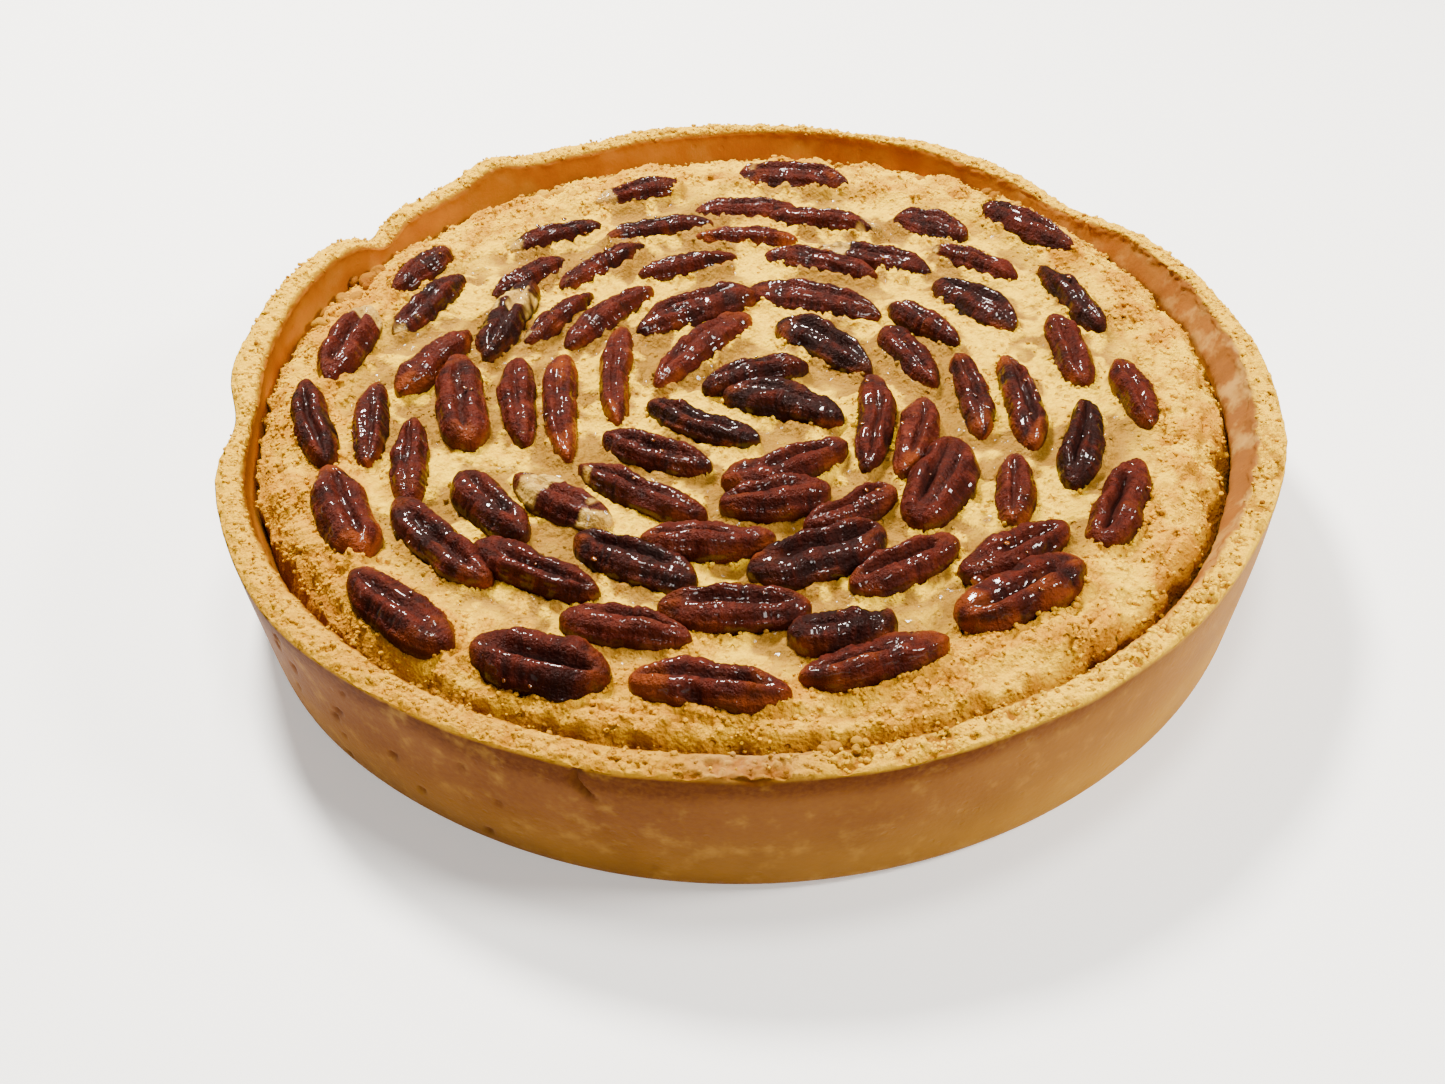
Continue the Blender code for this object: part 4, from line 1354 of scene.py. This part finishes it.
    # Bend the half along its ring and seat it on the filling.
    side = side - place.bow * (1.0 - reach ** 2) + 0.5 * noise_at(reach * 1.3, seed, 5.0)
    x = place.first.x + place.along.x * ahead + place.across.x * side
    y = place.first.y + place.along.y * ahead + place.across.y * side
    middle = place.first + place.along * (place.length / 2.0) - place.across * (place.bow * 0.7)
    sunk = 0.8 * float(smooth(-20.0, 60.0, middle.y))
    seat = 0.5 * filling_level(x, y) - sunk + 0.5 * level_at(middle) + place.lift
    move_corners(mesh, x, y, seat + rise)

    # Tone rises with the knobs, folds, ribs and ridges: painted light on their tops and painted shade in
    # their troughs.
    tone = look["tone"] + 0.22 * knob + (0.2 * (fold - 0.6) + 0.2 * rib + 0.3 * ridge) * on_lobe
    tips = np.maximum(smooth(-0.35, -0.95, reach), smooth(0.35, 0.95, reach))
    lower = smooth(0.5, 0.95, outer)
    patchy = noise_at(ahead / 7.0, v * 1.2, seed + 33.0)
    amber = look["amber"] * (0.7 * tips + 0.35 * lower + 0.5 * knob + 0.6 * patchy)
    amber += (0.03 + 0.3 * look["amber"]) * lower * smooth(-0.3, 0.4, patchy)
    groove = bell(v - line, 0.15) * (0.3 * ends + 0.7 * channel) * look["groove"]
    # Painted shade in the groove, the wrinkles' troughs, the torn strands and down the lobes' lower edges.
    crease = groove + strand ** 3 + (1.0 - fold) * 0.35 * on_lobe + smooth(0.85, 1.0, outer) * 0.6
    gloss = look["gloss"] * (0.8 + 0.3 * knob + 0.5 * groove)
    add_masks(mesh, tone=tone, amber=amber, cream=cream, crease=crease, gloss=gloss)


class TART_OT_make_pecans(bpy.types.Operator):
    """Model one ball, copy it for every pecan half and shape each copy in its place"""

    bl_idname = "tart.make_pecans"
    bl_label = "Make pecans"

    def execute(self, context):
        given = context.scene.tart_pecans
        material = pecan_material(given)
        draw = random.Random(PECAN_SEED)
        ball = start_piece(
            bpy.ops.mesh.primitive_uv_sphere_add, "pecan_ball", segments=44, ring_count=96, radius=MM,
        )
        settle()
        copies = {}
        for node, place in all_places():
            mesh = ball.data.copy()
            shape_half(mesh, place, given, draw)
            half = bpy.data.objects.new("glazed_" + node, mesh)
            context.scene.collection.objects.link(half)
            copies.setdefault(node, []).append(half)
        bpy.data.objects.remove(ball)
        for node, halves in copies.items():
            bpy.ops.object.select_all(action="DESELECT")
            for half in halves:
                half.select_set(True)
            context.view_layer.objects.active = halves[0]
            if len(halves) > 1:
                bpy.ops.object.join()
            end_piece(halves[0], material)
            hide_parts(node)
        return {"FINISHED"}


# ---------------------------------------------------------------- grains, crumbs and syrup


def scatter(name, spots, draw, detail, squash):
    """One mesh of many small uneven balls, each spot as (x, y, z, size) in mm."""
    ball = start_piece(
        bpy.ops.mesh.primitive_ico_sphere_add, name + "_ball", subdivisions=detail, radius=MM,
    )
    settle()
    corners = corners_of(ball.data)
    faces = [tuple(face.vertices) for face in ball.data.polygons]
    bpy.data.objects.remove(ball)
    all_corners = []
    all_faces = []
    for x, y, z, size in spots:
        turn = Matrix.Rotation(draw.uniform(0.0, math.tau), 3, "Z")
        tilt = Matrix.Rotation(draw.uniform(-0.6, 0.6), 3, "X")
        spin = np.array(turn @ tilt)
        wide = (draw.uniform(0.75, 1.3), draw.uniform(0.75, 1.3))
        stretch = np.array((*wide, squash * draw.uniform(0.8, 1.2)))
        uneven = 1.0 + squash * 0.22 * noise_at(*(corners.T * 1.3 + size * 7.0 + x))
        moved = (corners * uneven[:, None] * stretch * size) @ spin.T
        start = len(all_corners) * len(corners)
        all_corners.append(moved + np.array((x, y, z)))
        all_faces.extend(tuple(start + corner for corner in face) for face in faces)
    mesh = bpy.data.meshes.new(name)
    mesh.from_pydata(np.concatenate(all_corners) * MM, [], all_faces)
    mesh.update()
    piece = bpy.data.objects.new(name, mesh)
    bpy.context.scene.collection.objects.link(piece)
    return piece


def stud(name, base, keep, count, given, draw, masks):
    """Half-sunk grains on corners drawn from a finished piece, with that piece's finishes."""
    corners = corners_of(base.data)
    chosen = draw.choices(range(len(corners)), weights=keep, k=count)
    spots = []
    for corner in chosen:
        size = given.smallest + (given.largest - given.smallest) * draw.random() ** 1.6
        x, y, z = corners[corner] + np.array([draw.uniform(-0.4, 0.4), draw.uniform(-0.4, 0.4), 0.0])
        spots.append((x, y, z - 0.15 * size, size))
    piece = scatter(name, spots, draw, 1, 0.8)
    share = len(piece.data.vertices) // count
    kept = {mask: np.repeat(mask_of(base.data, mask)[chosen], share) for mask in masks}
    add_masks(piece.data, **kept, hollow=np.zeros(share * count))
    return piece


class TART_OT_make_grains(bpy.types.Operator):
    """Stud the filling and the cut rim with half-sunk grains of crumb"""

    bl_idname = "tart.make_grains"
    bl_label = "Make grains"

    def execute(self, context):
        given = context.scene.tart_grains
        draw = random.Random(GRAIN_SEED)
        filling = bpy.data.objects["almond_filling"]
        x, y, z = corners_of(filling.data).T
        off_nut = off_pecans(x, y)
        cluster = smooth(-0.25, 0.25, layer((x, y), 6.0, 71.0))
        keep = (0.2 + 0.8 * smooth(84.0, 96.0, np.hypot(x, y))) * (0.15 + 0.85 * cluster)
        keep += 0.35 * smooth(1.6, 0.6, off_nut)
        keep *= (z > FILL_LEVEL - 4.0) * (off_nut > -0.5) * (1.0 - 0.8 * mask_of(filling.data, "soak"))
        piece = stud("filling_grains", filling, keep, given.on_filling, given, draw, ("toast", "soak"))
        end_piece(piece, filling.data.materials[0])

        case = bpy.data.objects["pastry_case"]
        x, y, _height = corners_of(case.data).T
        cluster = smooth(-0.3, 0.3, layer((x, y), 4.0, 81.0))
        in_from_lip = RIM_RADIUS + bumps_at(bearing_of(x, y), RIM_BULGES) - np.hypot(x, y)
        keep = mask_of(case.data, "cut") * (0.3 + 0.7 * cluster) * (in_from_lip > 1.1)
        masks = ("cut", "toast", "yellow", "rosy", "inside")
        piece = stud("rim_grains", case, keep, given.on_rim, given, draw, masks)
        end_piece(piece, case.data.materials[0])
        return {"FINISHED"}


class TART_OT_make_crumbs(bpy.types.Operator):
    """Scatter loose crumbs on the rim, in the gap and on the puffed ring"""

    bl_idname = "tart.make_crumbs"
    bl_label = "Make crumbs"

    def execute(self, context):
        given = context.scene.tart_crumbs
        draw = random.Random(CRUMB_SEED)
        spots = []
        for _crumb in range(given.crumbs):
            bearing = draw.uniform(0.0, 360.0)
            size = given.smallest + (given.largest - given.smallest) * draw.random() ** 2.5
            edge = fill_edge_radius(bearing)
            angle = math.radians(bearing)
            way = np.array((math.cos(angle), math.sin(angle)))
            if draw.random() < RIM_CRUMB_SHARE:
                distance = RIM_RADIUS + bumps_at(bearing, RIM_BULGES) - draw.uniform(1.0, 5.5)
                height = RIM_HEIGHT + bumps_at(bearing, CREST_BUMPS) + RIM_CRUMB_LIFT
            else:
                distance = edge - abs(draw.gauss(1.0, 2.5)) - 0.6
                height = level_at(way * distance)
                height = height - SHOULDER_DROP * smooth(edge - 7.0, edge, distance) * 0.8 + 0.3
            spots.append((*(way * distance), height, size * 0.6))
        piece = scatter("loose_crumbs", spots, draw, 1, 0.85)
        toasts = [draw.random() ** 1.5 for _spot in spots]
        add_masks(piece.data, toast=np.repeat(toasts, len(piece.data.vertices) // len(spots)))
        material = crumb_material()
        end_piece(piece, material)

        spots = []
        toasts = []
        for bearing, distance, size, browned in CLODS:
            spot = on_plan(bearing, distance)
            on_rim = distance > RIM_RADIUS - RIM_THICKNESS - 2.0
            height = RIM_HEIGHT if on_rim else level_at(spot) - 0.4
            for _part in range(4):
                off_x = draw.uniform(-0.8, 0.8) * size
                off_y = draw.uniform(-0.8, 0.8) * size
                part = size * draw.uniform(0.45, 0.8)
                spots.append((spot.x + off_x, spot.y + off_y, height - 0.3 * size, part))
                toasts.append(browned)
        piece = scatter("browned_lumps", spots, draw, 3, 0.75)
        add_masks(piece.data, toast=np.repeat(toasts, len(piece.data.vertices) // len(spots)))
        end_piece(piece, material)
        return {"FINISHED"}


class TART_OT_make_syrup(bpy.types.Operator):
    """Set small beads of syrup on and beside the pecans"""

    bl_idname = "tart.make_syrup"
    bl_label = "Make syrup"

    def execute(self, context):
        given = context.scene.tart_syrup
        draw = random.Random(SYRUP_SEED)
        places = [place for _node, place in all_places()]
        spots = []
        for _bead in range(given.beads):
            place = draw.choice(places)
            reach = draw.uniform(-0.85, 0.85)
            ahead = (reach + 1.0) * place.length / 2.0
            share = draw.uniform(-1.0, 1.0)
            edge = place.width / 2.0 * (1.0 - abs(reach) ** 2.4) ** 0.58
            side = edge * share - place.bow * (1.0 - reach ** 2)
            spot = place.first + place.along * ahead + place.across * side
            height = level_at(spot) + place.lift + SEAT_GAP
            full = place.height * (1.0 - abs(reach) ** 2.6) ** 0.5
            height += full * (1.0 - share * share) ** 0.36 - 0.15
            spots.append((*spot, height, draw.uniform(0.25, 0.6)))
        for bearing, distance, size in LARGE_BEADS:
            spot = on_plan(bearing, distance)
            spots.append((spot.x, spot.y, level_at(spot) + LARGE_BEAD_RISE, size))
        piece = scatter("syrup_beads", spots, draw, 2, 0.6)
        end_piece(piece, syrup_material(given))
        return {"FINISHED"}


# ---------------------------------------------------------------- stage


def soft_light(name, place, size, power, colour):
    """A round soft light that points at the tart, its place and size in metres."""
    light = bpy.data.lights.new(name, "AREA")
    light.shape = "DISK"
    light.size = size
    light.energy = power
    light.color = colour
    holder = bpy.data.objects.new(name, light)
    bpy.context.scene.collection.objects.link(holder)
    holder.location = place
    aim = Vector(LIGHT_AIM) - Vector(place)
    holder.rotation_euler = aim.to_track_quat("-Z", "Y").to_euler()


def aim_camera():
    """A camera that sees the tart as the photograph does: from 42 degrees up, a little tilted."""
    up_angle = math.radians(CAMERA_UP)
    look = Vector(CAMERA_AIM)
    back = Vector((0.0, -math.cos(up_angle), math.sin(up_angle)))
    right = (-back).cross(Vector((0.0, 0.0, 1.0))).normalized()
    top = right.cross(-back)
    tilt = math.radians(CAMERA_TILT)
    tilted_right = right * math.cos(tilt) + top * math.sin(tilt)
    tilted_top = top * math.cos(tilt) - right * math.sin(tilt)
    camera = bpy.data.cameras.new("camera")
    camera.sensor_width = SENSOR_WIDTH
    camera.lens = LENS
    holder = bpy.data.objects.new("camera", camera)
    bpy.context.scene.collection.objects.link(holder)
    turned = Matrix((tilted_right, tilted_top, back)).transposed().to_4x4()
    turned.translation = look + back * CAMERA_AWAY
    holder.matrix_world = turned
    bpy.context.scene.camera = holder


class TART_OT_make_stage(bpy.types.Operator):
    """Lay the pale floor, hang the soft lights and aim the camera"""

    bl_idname = "tart.make_stage"
    bl_label = "Make stage"

    def execute(self, context):
        given = context.scene.tart_stage
        floor = start_piece(bpy.ops.mesh.primitive_plane_add, "floor", size=8.0, location=(0, 0, 0))
        settle()
        material, graph, shader = new_material("pale_floor")
        graph.feed_all(shader.inputs, {
            "Base Color": given.floor,
            "Roughness": 0.6,
            "Emission Color": FLOOR_GLOW,
            "Emission Strength": given.glow,
        })
        floor.data.materials.append(material)
        world = bpy.data.worlds.new("studio")
        world.use_nodes = True
        sky = world.node_tree.nodes["Background"]
        sky.inputs["Color"].default_value = (*SKY, 1.0)
        sky.inputs["Strength"].default_value = given.sky
        context.scene.world = world
        for name, place, size, setting, share, colour in LIGHTS:
            soft_light(name, place, size, getattr(given, setting) * share, colour)
        aim_camera()
        return {"FINISHED"}


# ---------------------------------------------------------------- panel

# Each step as its operator and its settings, in the order in which the tart is made.
STEPS = (
    (TART_OT_make_case, "tart_case", CaseSettings),
    (TART_OT_make_filling, "tart_filling", FillingSettings),
    (TART_OT_make_pecans, "tart_pecans", PecanSettings),
    (TART_OT_make_syrup, "tart_syrup", SyrupSettings),
    (TART_OT_make_grains, "tart_grains", GrainSettings),
    (TART_OT_make_crumbs, "tart_crumbs", CrumbSettings),
    (TART_OT_make_stage, "tart_stage", StageSettings),
)


class TART_PT_panel(bpy.types.Panel):
    """Buttons and settings of the tart's pieces"""

    bl_idname = "TART_PT_panel"
    bl_label = "Pecan frangipane tart"
    bl_space_type = "VIEW_3D"
    bl_region_type = "UI"
    bl_category = "Tart"

    def draw(self, context):
        for operator, name, settings in STEPS:
            box = self.layout.box()
            box.operator(operator.bl_idname)
            for setting in settings.__annotations__:
                box.prop(getattr(context.scene, name), setting)


def register():
    for operator, name, settings in STEPS:
        bpy.utils.register_class(settings)
        setattr(bpy.types.Scene, name, PointerProperty(type=settings))
        bpy.utils.register_class(operator)
    bpy.utils.register_class(TART_PT_panel)


def unregister():
    bpy.utils.unregister_class(TART_PT_panel)
    for operator, name, settings in reversed(STEPS):
        bpy.utils.unregister_class(operator)
        delattr(bpy.types.Scene, name)
        bpy.utils.unregister_class(settings)


def main():
    register()
    bpy.ops.tart.make_case()
    bpy.ops.tart.make_filling()
    bpy.ops.tart.make_pecans()
    bpy.ops.tart.make_syrup()
    bpy.ops.tart.make_grains()
    bpy.ops.tart.make_crumbs()
    bpy.ops.tart.make_stage()


if __name__ == "__main__":
    main()
